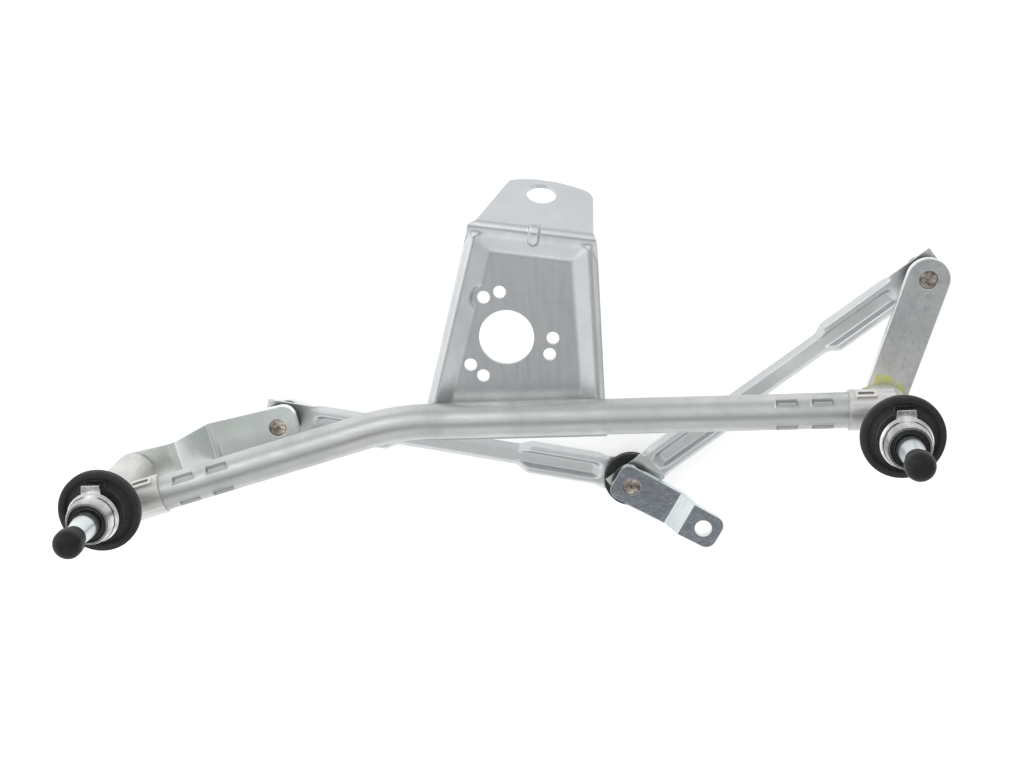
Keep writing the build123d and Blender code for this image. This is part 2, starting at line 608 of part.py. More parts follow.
# ---------------------------------------------------------------- link rods
def make_rod(label, outer_xy, inner_xy, top, inner_hole):
    """Pressed rod: flat ends, wide grooved stretches and a narrow waist, open underneath."""
    plane = link_plane(outer_xy, inner_xy, top)
    _, length = towards(outer_xy, inner_xy)
    middle = length / 2
    half_wide = middle - ROD_CHANNEL_START
    half_waist = middle - ROD_WIDE_REACH
    with BuildPart() as rod:
        with BuildSketch(plane.offset(-SHEET)):
            with Locations((middle, 0)):
                Rectangle(length + 2 * ROD_END, ROD_WIDTH)
            with Locations((middle, 0)):
                Rectangle(2 * half_waist, ROD_WIDTH + CUT_PAST, mode=Mode.SUBTRACT)
        extrude(amount=SHEET)
        # pressed stretch: the whole block first
        with BuildSketch(plane.offset(-ROD_DEPTH)):
            for end in (-1, 1):
                with Locations((middle + end * (half_wide + half_waist) / 2, 0)):
                    Rectangle(half_wide - half_waist, ROD_WIDTH)
        extrude(amount=ROD_DEPTH)
        with BuildSketch(plane.offset(-ROD_DEPTH)):
            with Locations((middle, 0)):
                Rectangle(2 * half_waist + 2 * ROD_LAP, ROD_WAIST)
        extrude(amount=ROD_DEPTH - ROD_GROOVE)
        with BuildSketch(plane.offset(-ROD_GROOVE)):
            with Locations((middle, 0)):
                Rectangle(2 * half_waist, ROD_WIDTH + CUT_PAST)
        extrude(amount=ROD_GROOVE + CUT_PAST, mode=Mode.SUBTRACT)
        # groove along the top
        with BuildSketch(plane.offset(-ROD_GROOVE)):
            with Locations((middle, 0)):
                SlotOverall(2 * half_wide - 2 * SHEET, ROD_GROOVE_WIDTH)
        extrude(amount=ROD_GROOVE + CUT_PAST, mode=Mode.SUBTRACT)
        # hollow underneath the waist and under each bead
        with BuildSketch(plane.offset(-ROD_DEPTH)):
            with Locations((middle, 0)):
                Rectangle(2 * half_wide - 2 * SHEET, ROD_WAIST - 2 * ROD_WALL)
        extrude(amount=ROD_DEPTH - ROD_GROOVE - ROD_WALL, mode=Mode.SUBTRACT)
        bead = (ROD_WIDTH - ROD_GROOVE_WIDTH) / 2
        with BuildSketch(plane.offset(-ROD_DEPTH)):
            for end in (-1, 1):
                for side in (-1, 1):
                    centre_y = side * (ROD_GROOVE_WIDTH / 2 + bead / 2)
                    with Locations((middle + end * (half_wide + half_waist) / 2, centre_y)):
                        Rectangle(half_wide - half_waist - 2 * SHEET, bead - 2 * ROD_WALL)
        extrude(amount=ROD_DEPTH - SHEET, mode=Mode.SUBTRACT)
        with Locations(plane):
            Hole(SOCKET_D / 2)
            with Locations((length, 0, 0)):
                Hole(inner_hole / 2)
    write(rod, label)


make_rod("right_link_rod", RIGHT_PIN, MOTOR_PIN, RIGHT_ROD_TOP, 2 * OPEN_BUSH_OUTER_R)
make_rod("left_link_rod", LEFT_PIN, MOTOR_PIN, LEFT_ROD_TOP, SOCKET_D)


# ---------------------------------------------------------------- ball pins, sockets and boots
def make_ball_pin(label, pin_xy, crank_front, ball_centre):
    """Ball pin: rivet head in the crank's recess, shank and ball."""
    recess_floor = crank_front - RECESS_DEPTH
    with BuildPart() as pin:
        with BuildSketch(Plane(origin=(pin_xy[0], pin_xy[1], ball_centre))):
            Circle(PIN_D / 2)
        extrude(amount=recess_floor - ball_centre)
        with BuildSketch(Plane(origin=(pin_xy[0], pin_xy[1], recess_floor))):
            Circle(RIVET_D / 2)
        extrude(amount=RIVET_HEAD)
        chamfer(pin.edges().filter_by(GeomType.CIRCLE).sort_by(Axis.Z)[-1], RIVET_EDGE)
        with Locations((pin_xy[0], pin_xy[1], ball_centre)):
            Sphere(BALL_R)
    write(pin, label)


def make_socket(label, pin_xy, rod_top, ball_centre):
    """Plastic socket clipped through the rod's end, closed below the ball."""
    with BuildPart() as socket:
        with BuildSketch(Plane(origin=(pin_xy[0], pin_xy[1], rod_top))):
            Circle(SOCKET_FLANGE_D / 2)
        extrude(amount=SOCKET_FLANGE_T)
        with BuildSketch(Plane(origin=(pin_xy[0], pin_xy[1], ball_centre - SOCKET_CUP))):
            Circle(SOCKET_D / 2)
        extrude(amount=rod_top - ball_centre + SOCKET_CUP)
        fillet(socket.edges().filter_by(GeomType.CIRCLE).sort_by(Axis.Z)[0], SOCKET_ROUNDING)
        with Locations((pin_xy[0], pin_xy[1], ball_centre)):
            Sphere(BALL_R + BALL_GAP, mode=Mode.SUBTRACT)
        with BuildSketch(Plane(origin=(pin_xy[0], pin_xy[1], ball_centre))):
            Circle(SOCKET_MOUTH_R)
        extrude(amount=2 * SOCKET_CUP, mode=Mode.SUBTRACT)
    write(socket, label)


def make_boot(label, pin_xy, bottom, top):
    """Rubber boot between a socket and its crank, with a rounded belly."""
    bore = PIN_D / 2 + BOOT_BORE_GAP
    foot = SOCKET_FLANGE_D / 2
    neck = PIN_D / 2 + BOOT_NECK
    with BuildPart() as boot:
        with BuildSketch(turning_plane(pin_xy, 0)):
            with BuildLine():
                Line((bore, bottom), (foot, bottom))
                ThreePointArc((foot, bottom), (foot + BOOT_BELLY, (bottom + top) / 2 - EDGE), (neck, top))
                Polyline((neck, top), (bore, top), (bore, bottom))
            make_face()
        revolve(axis=upright_axis(pin_xy))
        with Locations((pin_xy[0], pin_xy[1], bottom - SOCKET_FLANGE_T - BALL_BELOW_TOP)):
            Sphere(BALL_R + BOOT_BELLY, mode=Mode.SUBTRACT)
    write(boot, label)


for hand, pin_xy, crank_front, rod_top in (
    ("right", RIGHT_PIN, right_crank_front, RIGHT_ROD_TOP),
    ("left", LEFT_PIN, LEFT_PIN_CRANK_FRONT, LEFT_ROD_TOP),
):
    ball_centre = rod_top - BALL_BELOW_TOP
    make_ball_pin(f"{hand}_ball_pin", pin_xy, crank_front, ball_centre)
    make_socket(f"{hand}_outer_socket", pin_xy, rod_top, ball_centre)
    make_boot(f"{hand}_socket_boot", pin_xy, rod_top + SOCKET_FLANGE_T, crank_front - CRANK_T - BOOT_PLAY)

# double ball stud under the motor crank: collar, right rod, disc, left rod
collar_top = MOTOR_PIN_CRANK_FRONT - CRANK_T
disc_top = RIGHT_ROD_TOP - SHEET - DISC_GAP
disc_bottom = LEFT_ROD_TOP + SOCKET_FLANGE_T + BOOT_PLAY
make_ball_pin("motor_ball_stud", MOTOR_PIN, MOTOR_PIN_CRANK_FRONT, LEFT_ROD_TOP - MOTOR_BALL_BELOW)
make_socket("left_inner_socket", MOTOR_PIN, LEFT_ROD_TOP, LEFT_ROD_TOP - MOTOR_BALL_BELOW)
make_ring("stud_collar", MOTOR_PIN, collar_top - COLLAR_T, collar_top, PIN_D / 2, COLLAR_D / 2)
make_ring("stud_disc", MOTOR_PIN, disc_bottom, disc_top, PIN_D / 2, DISC_D / 2, DISC_ROUNDING)
make_ring(
    "right_inner_bush", MOTOR_PIN, RIGHT_ROD_TOP - SHEET, RIGHT_ROD_TOP,
    OPEN_BUSH_R, OPEN_BUSH_OUTER_R,
)
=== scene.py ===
import json
import math

import bmesh
import bpy
from mathutils import Matrix, Vector


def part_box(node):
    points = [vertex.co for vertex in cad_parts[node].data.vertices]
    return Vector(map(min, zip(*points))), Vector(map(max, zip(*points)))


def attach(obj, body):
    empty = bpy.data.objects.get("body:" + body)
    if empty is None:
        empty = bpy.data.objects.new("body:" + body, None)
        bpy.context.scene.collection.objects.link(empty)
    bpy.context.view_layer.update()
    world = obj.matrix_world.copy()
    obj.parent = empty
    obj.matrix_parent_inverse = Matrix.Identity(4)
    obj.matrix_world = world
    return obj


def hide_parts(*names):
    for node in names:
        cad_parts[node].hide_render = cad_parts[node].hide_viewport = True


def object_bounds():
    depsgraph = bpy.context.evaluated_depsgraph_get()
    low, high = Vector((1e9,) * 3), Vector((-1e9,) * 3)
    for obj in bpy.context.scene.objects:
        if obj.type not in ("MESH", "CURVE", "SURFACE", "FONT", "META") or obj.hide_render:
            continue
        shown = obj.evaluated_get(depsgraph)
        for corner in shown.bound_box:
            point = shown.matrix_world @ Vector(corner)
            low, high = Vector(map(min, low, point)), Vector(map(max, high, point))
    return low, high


# Looks for the wiper linkage: the rods, the motor plate and the tube as fine meshes, the peened
# rivet ends, a dab of paint, procedural materials on every node, a pale floor, soft light and
# the camera. Metres, in the CAD frame, apart from the rods' sections and the plate's sizes,
# which are in millimetres.

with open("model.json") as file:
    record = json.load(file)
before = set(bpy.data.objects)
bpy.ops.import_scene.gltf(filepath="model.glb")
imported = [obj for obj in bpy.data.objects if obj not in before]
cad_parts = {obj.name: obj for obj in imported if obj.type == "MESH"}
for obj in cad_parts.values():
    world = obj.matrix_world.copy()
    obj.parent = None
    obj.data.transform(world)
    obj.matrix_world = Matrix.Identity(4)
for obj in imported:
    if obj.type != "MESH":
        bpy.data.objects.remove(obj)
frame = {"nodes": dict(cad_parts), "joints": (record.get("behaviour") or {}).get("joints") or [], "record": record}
cad_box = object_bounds()
nodes = frame["nodes"]
joints = {j["name"]: j for j in frame["joints"]}
mounts = {m["name"]: m for m in frame["record"]["mounts"]}
MM = 0.001
MERGE_DISTANCE = 2e-6
PUNCH_SIDES = 64

LEFT_SPINDLE = Vector(joints["left_spindle_turn"]["pos_m"])
RIGHT_SPINDLE = Vector(joints["right_spindle_turn"]["pos_m"])
LEFT_PIN = Vector(joints["left_rod_swing"]["pos_m"])
RIGHT_PIN = Vector(joints["right_rod_swing"]["pos_m"])
MOTOR_PIN = Vector(joints["motor_crank_turn"]["pos_m"])


# ---------------------------------------------------------------- small helpers
def mix(a, b, t):
    return a + (b - a) * t


def smooth(t):
    t = min(1.0, max(0.0, t))
    return t * t * (3 - 2 * t)


def straight(points, x, ease=float):
    """Value at x of the broken line through (x, value) points, with ease shaping each stretch."""
    if x <= points[0][0]:
        return points[0][1]
    for (x0, y0), (x1, y1) in zip(points, points[1:]):
        if x <= x1:
            return mix(y0, y1, ease((x - x0) / (x1 - x0)))
    return points[-1][1]


def bent(points, x, soft):
    """Value at x of the broken line through the points, with its corners rounded over soft."""
    return sum(straight(points, x + soft * k) for k in (-1.0, -0.5, 0.0, 0.5, 1.0)) / 5


def new_object(name, verts, faces):
    mesh = bpy.data.meshes.new(name)
    mesh.from_pydata([tuple(v) for v in verts], [], faces)
    mesh.validate()
    bm = bmesh.new()
    bm.from_mesh(mesh)
    bmesh.ops.remove_doubles(bm, verts=bm.verts, dist=MERGE_DISTANCE)
    bmesh.ops.recalc_face_normals(bm, faces=bm.faces)
    bm.to_mesh(mesh)
    bm.free()
    piece = bpy.data.objects.new(name, mesh)
    bpy.context.scene.collection.objects.link(piece)
    return piece


def apply_modifier(piece, modifier):
    bpy.context.view_layer.objects.active = piece
    with bpy.context.temp_override(object=piece, active_object=piece, selected_objects=[piece]):
        bpy.ops.object.modifier_apply(modifier=modifier.name)


def shade(piece, angle=35):
    """Smooth shading that keeps edges sharper than the angle."""
    mesh = piece.data
    for face in mesh.polygons:
        face.use_smooth = True
    bm = bmesh.new()
    bm.from_mesh(mesh)
    for edge in bm.edges:
        edge.smooth = len(edge.link_faces) == 2 and edge.calc_face_angle(0) < math.radians(angle)
    bm.to_mesh(mesh)
    bm.free()


def punch(piece, centre, axis, radius, reach):
    """Cut a round hole of that radius through the piece."""
    axis = Vector(axis).normalized()
    turn = axis.to_track_quat("Z", "Y").to_matrix().to_4x4()
    bm = bmesh.new()
    bmesh.ops.create_cone(
        bm, cap_ends=True, segments=PUNCH_SIDES, radius1=radius, radius2=radius, depth=2 * reach,
        matrix=Matrix.Translation(centre) @ turn,
    )
    mesh = bpy.data.meshes.new("punch")
    bm.to_mesh(mesh)
    bm.free()
    tool = bpy.data.objects.new("punch", mesh)
    bpy.context.scene.collection.objects.link(tool)
    cut = piece.modifiers.new("hole", "BOOLEAN")
    cut.operation = "DIFFERENCE"
    cut.solver = "EXACT"
    cut.object = tool
    apply_modifier(piece, cut)
    bpy.data.objects.remove(tool)


def sheet_solid(name, top_rows, thickness):
    """Closed sheet-metal solid under a grid of top points (rows of equal length)."""
    count_u = len(top_rows)
    count_v = len(top_rows[0])
    normals = []
    for i, row in enumerate(top_rows):
        line = []
        for j, _ in enumerate(row):
            du = top_rows[min(i + 1, count_u - 1)][j] - top_rows[max(i - 1, 0)][j]
            dv = row[min(j + 1, count_v - 1)] - row[max(j - 1, 0)]
            n = du.cross(dv)
            line.append(n.normalized() if n.length > 1e-12 else Vector((0, 0, 1)))
        normals.append(line)
    sign = 1.0 if sum(n.z for line in normals for n in line) > 0 else -1.0
    verts = [p for row in top_rows for p in row]
    below = [
        p - normals[i][j] * (sign * thickness)
        for i, row in enumerate(top_rows) for j, p in enumerate(row)
    ]
    offset = len(verts)
    verts = verts + below

    def at(i, j, under=False):
        return i * count_v + j + (offset if under else 0)

    faces = []
    for i in range(count_u - 1):
        for j in range(count_v - 1):
            faces.append((at(i, j), at(i + 1, j), at(i + 1, j + 1), at(i, j + 1)))
            faces.append((at(i, j, True), at(i, j + 1, True), at(i + 1, j + 1, True), at(i + 1, j, True)))
    for i in range(count_u - 1):
        for j in (0, count_v - 1):
            faces.append((at(i, j), at(i + 1, j), at(i + 1, j, True), at(i, j, True)))
    for j in range(count_v - 1):
        for i in (0, count_u - 1):
            faces.append((at(i, j), at(i, j + 1), at(i, j + 1, True), at(i, j, True)))
    return new_object(name, verts, faces)


# ---------------------------------------------------------------- materials
# stretches of the noise: streaks along X or Y, or rings round Z
ALONG_X = (0.04, 1.0, 1.0)
ALONG_Y = (1.0, 0.06, 1.0)
ROUND_Z = (0.03, 0.03, 1.0)


class Shader:
    """A Principled material with helpers that add its procedural nodes."""

    def __init__(self, name, metallic=1.0):
        self.material = bpy.data.materials.new(name)
        self.material.use_nodes = True
        self.tree = self.material.node_tree
        self.tree.nodes.clear()
        self.output = self.add("ShaderNodeOutputMaterial")
        self.surface = self.add("ShaderNodeBsdfPrincipled")
        self.surface.inputs["Metallic"].default_value = metallic
        self.surface.inputs["IOR"].default_value = 1.5
        self.tree.links.new(self.surface.outputs[0], self.output.inputs["Surface"])
        self.place = self.add("ShaderNodeTexCoord").outputs["Object"]

    def add(self, kind, **values):
        node = self.tree.nodes.new(kind)
        for key, value in values.items():
            setattr(node, key, value)
        return node

    def link(self, source, target):
        self.tree.links.new(source, target)

    def noise(self, scale, detail=3.0, roughness=0.55, stretch=(1, 1, 1), distortion=0.0, place=None):
        """Noise over the place in metres, stretched along an axis for streaks."""
        mapping = self.add("ShaderNodeMapping")
        mapping.inputs["Scale"].default_value = stretch
        self.link(place or self.place, mapping.inputs["Vector"])
        node = self.add("ShaderNodeTexNoise")
        node.inputs["Scale"].default_value = scale
        node.inputs["Detail"].default_value = detail
        node.inputs["Roughness"].default_value = roughness
        node.inputs["Distortion"].default_value = distortion
        self.link(mapping.outputs[0], node.inputs["Vector"])
        return node.outputs["Fac"]

    def spread(self, source, low, high, out_low=0.0, out_high=1.0):
        node = self.add("ShaderNodeMapRange")
        node.inputs["From Min"].default_value = low
        node.inputs["From Max"].default_value = high
        node.inputs["To Min"].default_value = out_low
        node.inputs["To Max"].default_value = out_high
        self.link(source, node.inputs["Value"])
        return node.outputs["Result"]

    def maths(self, operation, a, b):
        node = self.add("ShaderNodeMath", operation=operation)
        for socket, value in zip(node.inputs, (a, b)):
            if isinstance(value, (int, float)):
                socket.default_value = value
            else:
                self.link(value, socket)
        return node.outputs[0]

    def vectors(self, operation, a, b=(0, 0, 0), result="Vector"):
        node = self.add("ShaderNodeVectorMath", operation=operation)
        self.link(a, node.inputs[0])
        node.inputs[1].default_value = b
        return node.outputs[result]

    def blend(self, share, a, b):
        """Colour a where share is 0 and b where it is 1; each is an (r, g, b) or a socket."""
        node = self.add("ShaderNodeMix", data_type="RGBA")
        self.link(share, node.inputs[0])
        for socket, value in ((node.inputs[6], a), (node.inputs[7], b)):
            if isinstance(value, tuple):
                socket.default_value = (*value, 1)
            else:
                self.link(value, socket)
        return node.outputs[2]

    def between(self, share, a, b):
        """Number a where share is 0 and b where it is 1; both are sockets."""
        node = self.add("ShaderNodeMix", data_type="FLOAT")
        self.link(share, node.inputs[0])
        self.link(a, node.inputs[2])
        self.link(b, node.inputs[3])
        return node.outputs[0]

    def edges(self, low=0.52, high=0.60):
        """1 on worn convex edges, 0 elsewhere."""
        geometry = self.add("ShaderNodeNewGeometry")
        return self.spread(geometry.outputs["Pointiness"], low, high)

    def hollow_shade(self, low=0.40, high=0.485):
        """1 in concave corners, 0 elsewhere: the mask for painted shade in hollows."""
        geometry = self.add("ShaderNodeNewGeometry")
        return self.spread(geometry.outputs["Pointiness"], high, low)

    def slopes(self, low=0.9985, high=0.93):
        """1 on surfaces that lean away from level, 0 on level ones: the mask for painted light and shade on
        slopes.
        """
        geometry = self.add("ShaderNodeNewGeometry")
        split = self.add("ShaderNodeSeparateXYZ")
        self.link(geometry.outputs["Normal"], split.inputs[0])
        return self.spread(self.maths("ABSOLUTE", split.outputs["Z"], 0.0), low, high)

    def finish(self, colour, roughness, height, strength, distance, rounding=0.0):
        """Join colour, roughness and bump to the shader, with edges rounded over that radius."""
        self.link(colour, self.surface.inputs["Base Color"])
        self.link(roughness, self.surface.inputs["Roughness"])
        bump = self.add("ShaderNodeBump")
        bump.inputs["Strength"].default_value = strength
        bump.inputs["Distance"].default_value = distance
        self.link(height, bump.inputs["Height"])
        if rounding > 0:
            bevel = self.add("ShaderNodeBevel", samples=6)
            bevel.inputs["Radius"].default_value = rounding
            self.link(bevel.outputs[0], bump.inputs["Normal"])
        self.link(bump.outputs[0], self.surface.inputs["Normal"])
        return self.material


def plated_steel(name, pale, dull, dark, rough=(0.26, 0.46), stretch=(1, 1, 1),
                 grain=900.0, strength=0.25, rounding=0.0003, streaks=0.5, tint=None, speckle=0.35,
                 worn=0.6, lean=0.0, slope_paint_colour=(0.93, 0.94, 0.93), steep_shade=0.0, cloud_size=38.0,
                 patch_size=110.0, crease=(0.40, 0.485), light_pool=None):
    """Zinc plate: cloudy patches, fine streaks along the metal's grain, pale worn edges.

    lean and steep are the shares of slope_paint_colour and of the dark colour on surfaces that lean a
    little and a lot, painted light and shade by the slope of a face, and spot is a paler area
    as (centre, near, far, colour), a painted pool of reflected light.
    """
    s = Shader(name)
    clouds = s.noise(cloud_size, 5.0, 0.6, distortion=0.6)
    spangle = s.noise(260.0, 3.0, 0.6)
    streak = s.noise(420.0, 4.0, 0.65, stretch=stretch)
    fine = s.noise(grain, 2.0, 0.5)
    colour = s.blend(s.spread(clouds, 0.38, 0.66), pale, dull)
    if tint:
        patches = s.spread(s.noise(patch_size, 4.0, 0.65, distortion=1.2), 0.44, 0.60, 0.0, 0.8)
        colour = s.blend(patches, colour, tint)
    colour = s.blend(s.spread(streak, 0.52, 0.78, 0.0, streaks), colour, dull)
    colour = s.blend(s.spread(spangle, 0.58, 0.78, 0.0, speckle), colour, dark)
    # painted shade: the dark colour in concave creases, picked out by the crease thresholds
    colour = s.blend(s.hollow_shade(*crease), colour, dark)
    # painted light and shade: faces that lean from level take the lean colour, lighter or darker than the metal as
    # the light on them would be
    if lean:
        colour = s.blend(s.maths("MULTIPLY", s.slopes(), lean), colour, slope_paint_colour)
    # painted shade: steep faces darken towards the dark colour
    if steep_shade:
        colour = s.blend(s.maths("MULTIPLY", s.slopes(0.75, 0.55), steep_shade), colour, dark)
    colour = s.blend(s.maths("MULTIPLY", s.edges(), worn), colour, pale)
    # painted light: a paler pool round a centre, standing in for reflected light
    if light_pool:
        centre, near, far, light_pool_colour = light_pool
        distance = s.vectors("DISTANCE", s.place, centre, "Value")
        colour = s.blend(s.spread(distance, far, near), colour, light_pool_colour)
    mottled = s.maths("ADD", s.maths("MULTIPLY", clouds, 0.55), s.maths("MULTIPLY", streak, 0.45))
    roughness = s.spread(mottled, 0.35, 0.65, rough[0], rough[1])
    height = s.maths("ADD", s.maths("MULTIPLY", fine, 0.5), s.maths("MULTIPLY", streak, 0.8))
    height = s.maths("ADD", height, s.maths("MULTIPLY", clouds, 1.5))
    return s.finish(colour, roughness, height, strength, 0.0002, rounding)


SNOUT_LENGTH = 19.5 * MM
SNOUT_EDGE = 0.4 * MM              # the turned surface starts over this height
MOUTH_DEPTH = 8.5 * MM             # painted shade darkens the snout over this height towards its mouth
MOUTH_RIM = 0.5 * MM


def turned_snout(s, colour, roughness, centre, top):
    """Bright turned snout below a casting's top: fine rings, pale and dull sectors of painted reflection, and
    painted shade darkening it towards the mouth.
    """
    split = s.add("ShaderNodeSeparateXYZ")
    s.link(s.place, split.inputs[0])
    snout = s.spread(split.outputs["Z"], top - SNOUT_LENGTH, top - SNOUT_LENGTH + SNOUT_EDGE)
    flat = s.vectors("MULTIPLY", s.vectors("SUBTRACT", s.place, (*centre, 0.0)), (1.0, 1.0, 0.0))
    # painted reflection: pale and dull sectors round the snout's axis
    sectors = s.noise(1.7, 2.5, 0.5, place=s.vectors("NORMALIZE", flat))
    # painted shade: darker towards the mouth
    mouth = s.spread(split.outputs["Z"], top - MOUTH_DEPTH, top, 1.0, 0.5)
    painted_shade = s.maths("MULTIPLY", s.spread(sectors, 0.36, 0.62, 0.62, 1.0), mouth)
    rings = s.noise(1300.0, 2.0, 0.5, stretch=ROUND_Z)
    bright = s.blend(painted_shade, (0.0, 0.0, 0.0), s.blend(rings, (0.86, 0.86, 0.85), (0.95, 0.95, 0.94)))
    smooth_rings = s.spread(rings, 0.0, 1.0, 0.08, 0.18)
    return s.blend(snout, colour, bright), s.between(snout, roughness, smooth_rings)


def cast_alloy(name, snout=None):
    """Blasted casting with a fine sandy skin, brighter on worn edges.

    snout is the centre and the top of a turned snout in the part's own frame.
    """
    s = Shader(name)
    clouds = s.noise(60.0, 4.0, 0.6, distortion=0.4)
    sand = s.noise(1500.0, 3.0, 0.6)
    pits = s.noise(520.0, 2.0, 0.5)
    colour = s.blend(s.spread(clouds, 0.35, 0.68), (0.66, 0.65, 0.635), (0.54, 0.53, 0.515))
    colour = s.blend(s.spread(pits, 0.60, 0.74, 0.0, 0.4), colour, (0.40, 0.39, 0.375))
    # painted shade in the casting's hollows
    colour = s.blend(s.hollow_shade(), colour, (0.38, 0.37, 0.36))
    colour = s.blend(s.maths("MULTIPLY", s.edges(), 0.7), colour, (0.82, 0.81, 0.79))
    roughness = s.spread(s.maths("ADD", clouds, sand), 0.7, 1.3, 0.36, 0.56)
    if snout:
        colour, roughness = turned_snout(s, colour, roughness, *snout)
    height = s.maths("ADD", sand, s.maths("MULTIPLY", pits, 0.8))
    return s.finish(colour, roughness, height, 0.35, 0.0002, 0.0005)


def machined(name, base, dark, rough):
    """Turned metal: fine rings round the part's own axis and a few dull smears."""
    s = Shader(name)
    smears = s.noise(90.0, 4.0, 0.6, distortion=0.8)
    rings = s.noise(1400.0, 2.0, 0.5, stretch=ROUND_Z)
    colour = s.blend(s.spread(smears, 0.42, 0.70), base, dark)
    # painted shade in the turned part's hollows
    colour = s.blend(s.hollow_shade(), colour, tuple(c * 0.5 for c in dark))
    roughness = s.spread(s.maths("ADD", smears, rings), 0.75, 1.25, rough[0], rough[1])
    return s.finish(colour, roughness, rings, 0.18, 0.0001, 0.0003)


def rubber(name, base, dusty, rough=(0.55, 0.78), sheen=0.03, specular=0.35):
    """Matt black rubber with dusty edges and a fine moulded skin."""
    s = Shader(name, metallic=0.0)
    dust = s.noise(110.0, 5.0, 0.65, distortion=0.5)
    skin = s.noise(1300.0, 3.0, 0.6)
    colour = s.blend(s.spread(dust, 0.40, 0.72), base, dusty)
    colour = s.blend(s.maths("MULTIPLY", s.edges(0.51, 0.58), 0.55), colour, tuple(c * 1.8 for c in dusty))
    roughness = s.spread(s.maths("ADD", dust, skin), 0.7, 1.3, rough[0], rough[1])
    s.surface.inputs["Specular IOR Level"].default_value = specular
    s.surface.inputs["Sheen Weight"].default_value = sheen
    s.surface.inputs["Sheen Roughness"].default_value = 0.5
    return s.finish(colour, roughness, s.maths("ADD", skin, dust), 0.3, 0.0002, 0.0004)


def paint_mark(name):
    """Inspector's yellow-green paint, thin and patchy."""
    s = Shader(name, metallic=0.0)
    thin = s.noise(500.0, 4.0, 0.65, distortion=0.5)
    colour = s.blend(s.spread(thin, 0.40, 0.60), (0.60, 0.58, 0.08), (0.52, 0.56, 0.36))
    roughness = s.spread(thin, 0.3, 0.7, 0.35, 0.6)
    return s.finish(colour, roughness, thin, 0.5, 0.0003)


# centre of the painted pool of reflected light on the right crank, round its barrel, and the distances over which
# it fades
crank_top = Vector((RIGHT_SPINDLE.x, RIGHT_SPINDLE.y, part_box("right_crank")[1].z))
crank_centre = nodes["right_crank"].matrix_world.inverted() @ crank_top
LIGHT_POOL_NEAR, LIGHT_POOL_FAR = 14.0 * MM, 48.0 * MM

MATERIALS = {
    # tube: painted shade in the crimps' hollows
    "tube_zinc": plated_steel(
        "tube_zinc", (0.56, 0.575, 0.56), (0.47, 0.49, 0.475), (0.36, 0.38, 0.375),
        rough=(0.34, 0.48), stretch=ALONG_X, strength=0.12, streaks=0.6, speckle=0.25, crease=(0.455, 0.49)),
    # plate: painted shade on its sloping faces, darker painted shade on the steep tab, and painted shade in its
    # creases
    "plate_zinc": plated_steel(
        "plate_zinc", (0.82, 0.845, 0.85), (0.62, 0.65, 0.66), (0.40, 0.425, 0.44),
        rough=(0.26, 0.38), stretch=ALONG_Y, strength=0.045, streaks=0.6, speckle=0.1, worn=0.5,
        lean=0.75, slope_paint_colour=(0.58, 0.60, 0.605), steep_shade=0.5, crease=(0.44, 0.488)),
    "weld_steel": plated_steel(
        "weld_steel", (0.50, 0.51, 0.50), (0.36, 0.36, 0.35), (0.22, 0.21, 0.20), strength=0.6),
    "cast_alloy": cast_alloy("cast_alloy"),
    "bronze": machined("bronze", (0.56, 0.40, 0.20), (0.36, 0.25, 0.12), (0.25, 0.45)),
    "seal_rubber": rubber("seal_rubber", (0.015, 0.016, 0.016), (0.032, 0.033, 0.032)),
    "spindle_steel": machined("spindle_steel", (0.72, 0.77, 0.77), (0.58, 0.64, 0.65), (0.25, 0.4)),
    "cap_plastic": rubber(
        "cap_plastic", (0.007, 0.007, 0.008), (0.019, 0.019, 0.020), (0.36, 0.55), 0.0, 0.25),
    "spring_steel": machined("spring_steel", (0.34, 0.34, 0.35), (0.22, 0.22, 0.23), (0.2, 0.4)),
    # left crank: painted light and shade on its sloping faces, and painted shade in its creases
    "crank_zinc": plated_steel(
        "crank_zinc", (0.88, 0.92, 0.895), (0.74, 0.78, 0.76), (0.48, 0.52, 0.505),
        rough=(0.16, 0.28), strength=0.2, streaks=0.3, speckle=0.25, rounding=0.0007, lean=0.5,
        slope_paint_colour=(0.80, 0.82, 0.81)),
    "pin_steel": machined("pin_steel", (0.56, 0.49, 0.39), (0.30, 0.24, 0.17), (0.25, 0.5)),
    # rods: painted shade on the sloping walls of the pressings and in their creases
    "rod_zinc": plated_steel(
        "rod_zinc", (0.88, 0.90, 0.895), (0.76, 0.785, 0.785), (0.50, 0.525, 0.53),
        rough=(0.30, 0.42), strength=0.12, streaks=0.3, speckle=0.12, worn=0.2,
        lean=0.8, slope_paint_colour=(0.55, 0.575, 0.58), crease=(0.44, 0.488)),
    "socket_plastic": rubber(
        "socket_plastic", (0.025, 0.026, 0.028), (0.045, 0.046, 0.048), (0.4, 0.55), 0.0),
}
# the motor crank keeps a darker, bluer passivation with painted highlights on its sloping faces, and the right
# crank is paler by its barrel as a painted pool of reflected light, with painted light on its slopes
DARK_CRANK = plated_steel(
    "crank_zinc_dark", (0.54, 0.61, 0.64), (0.40, 0.47, 0.49), (0.24, 0.28, 0.31),
    rough=(0.16, 0.28), strength=0.4, streaks=0.4, speckle=0.6, tint=(0.47, 0.40, 0.56), rounding=0.0007,
    lean=0.95, cloud_size=240.0, patch_size=200.0)
RIGHT_CRANK = plated_steel(
    "crank_zinc_grey", (0.76, 0.79, 0.78), (0.50, 0.535, 0.54), (0.32, 0.34, 0.36),
    rough=(0.26, 0.40), strength=0.07, streaks=0.2, tint=(0.56, 0.56, 0.60), rounding=0.0007, lean=0.5,
    speckle=0.08, cloud_size=110.0, light_pool=(crank_centre, LIGHT_POOL_NEAR, LIGHT_POOL_FAR, (0.84, 0.86, 0.83)))
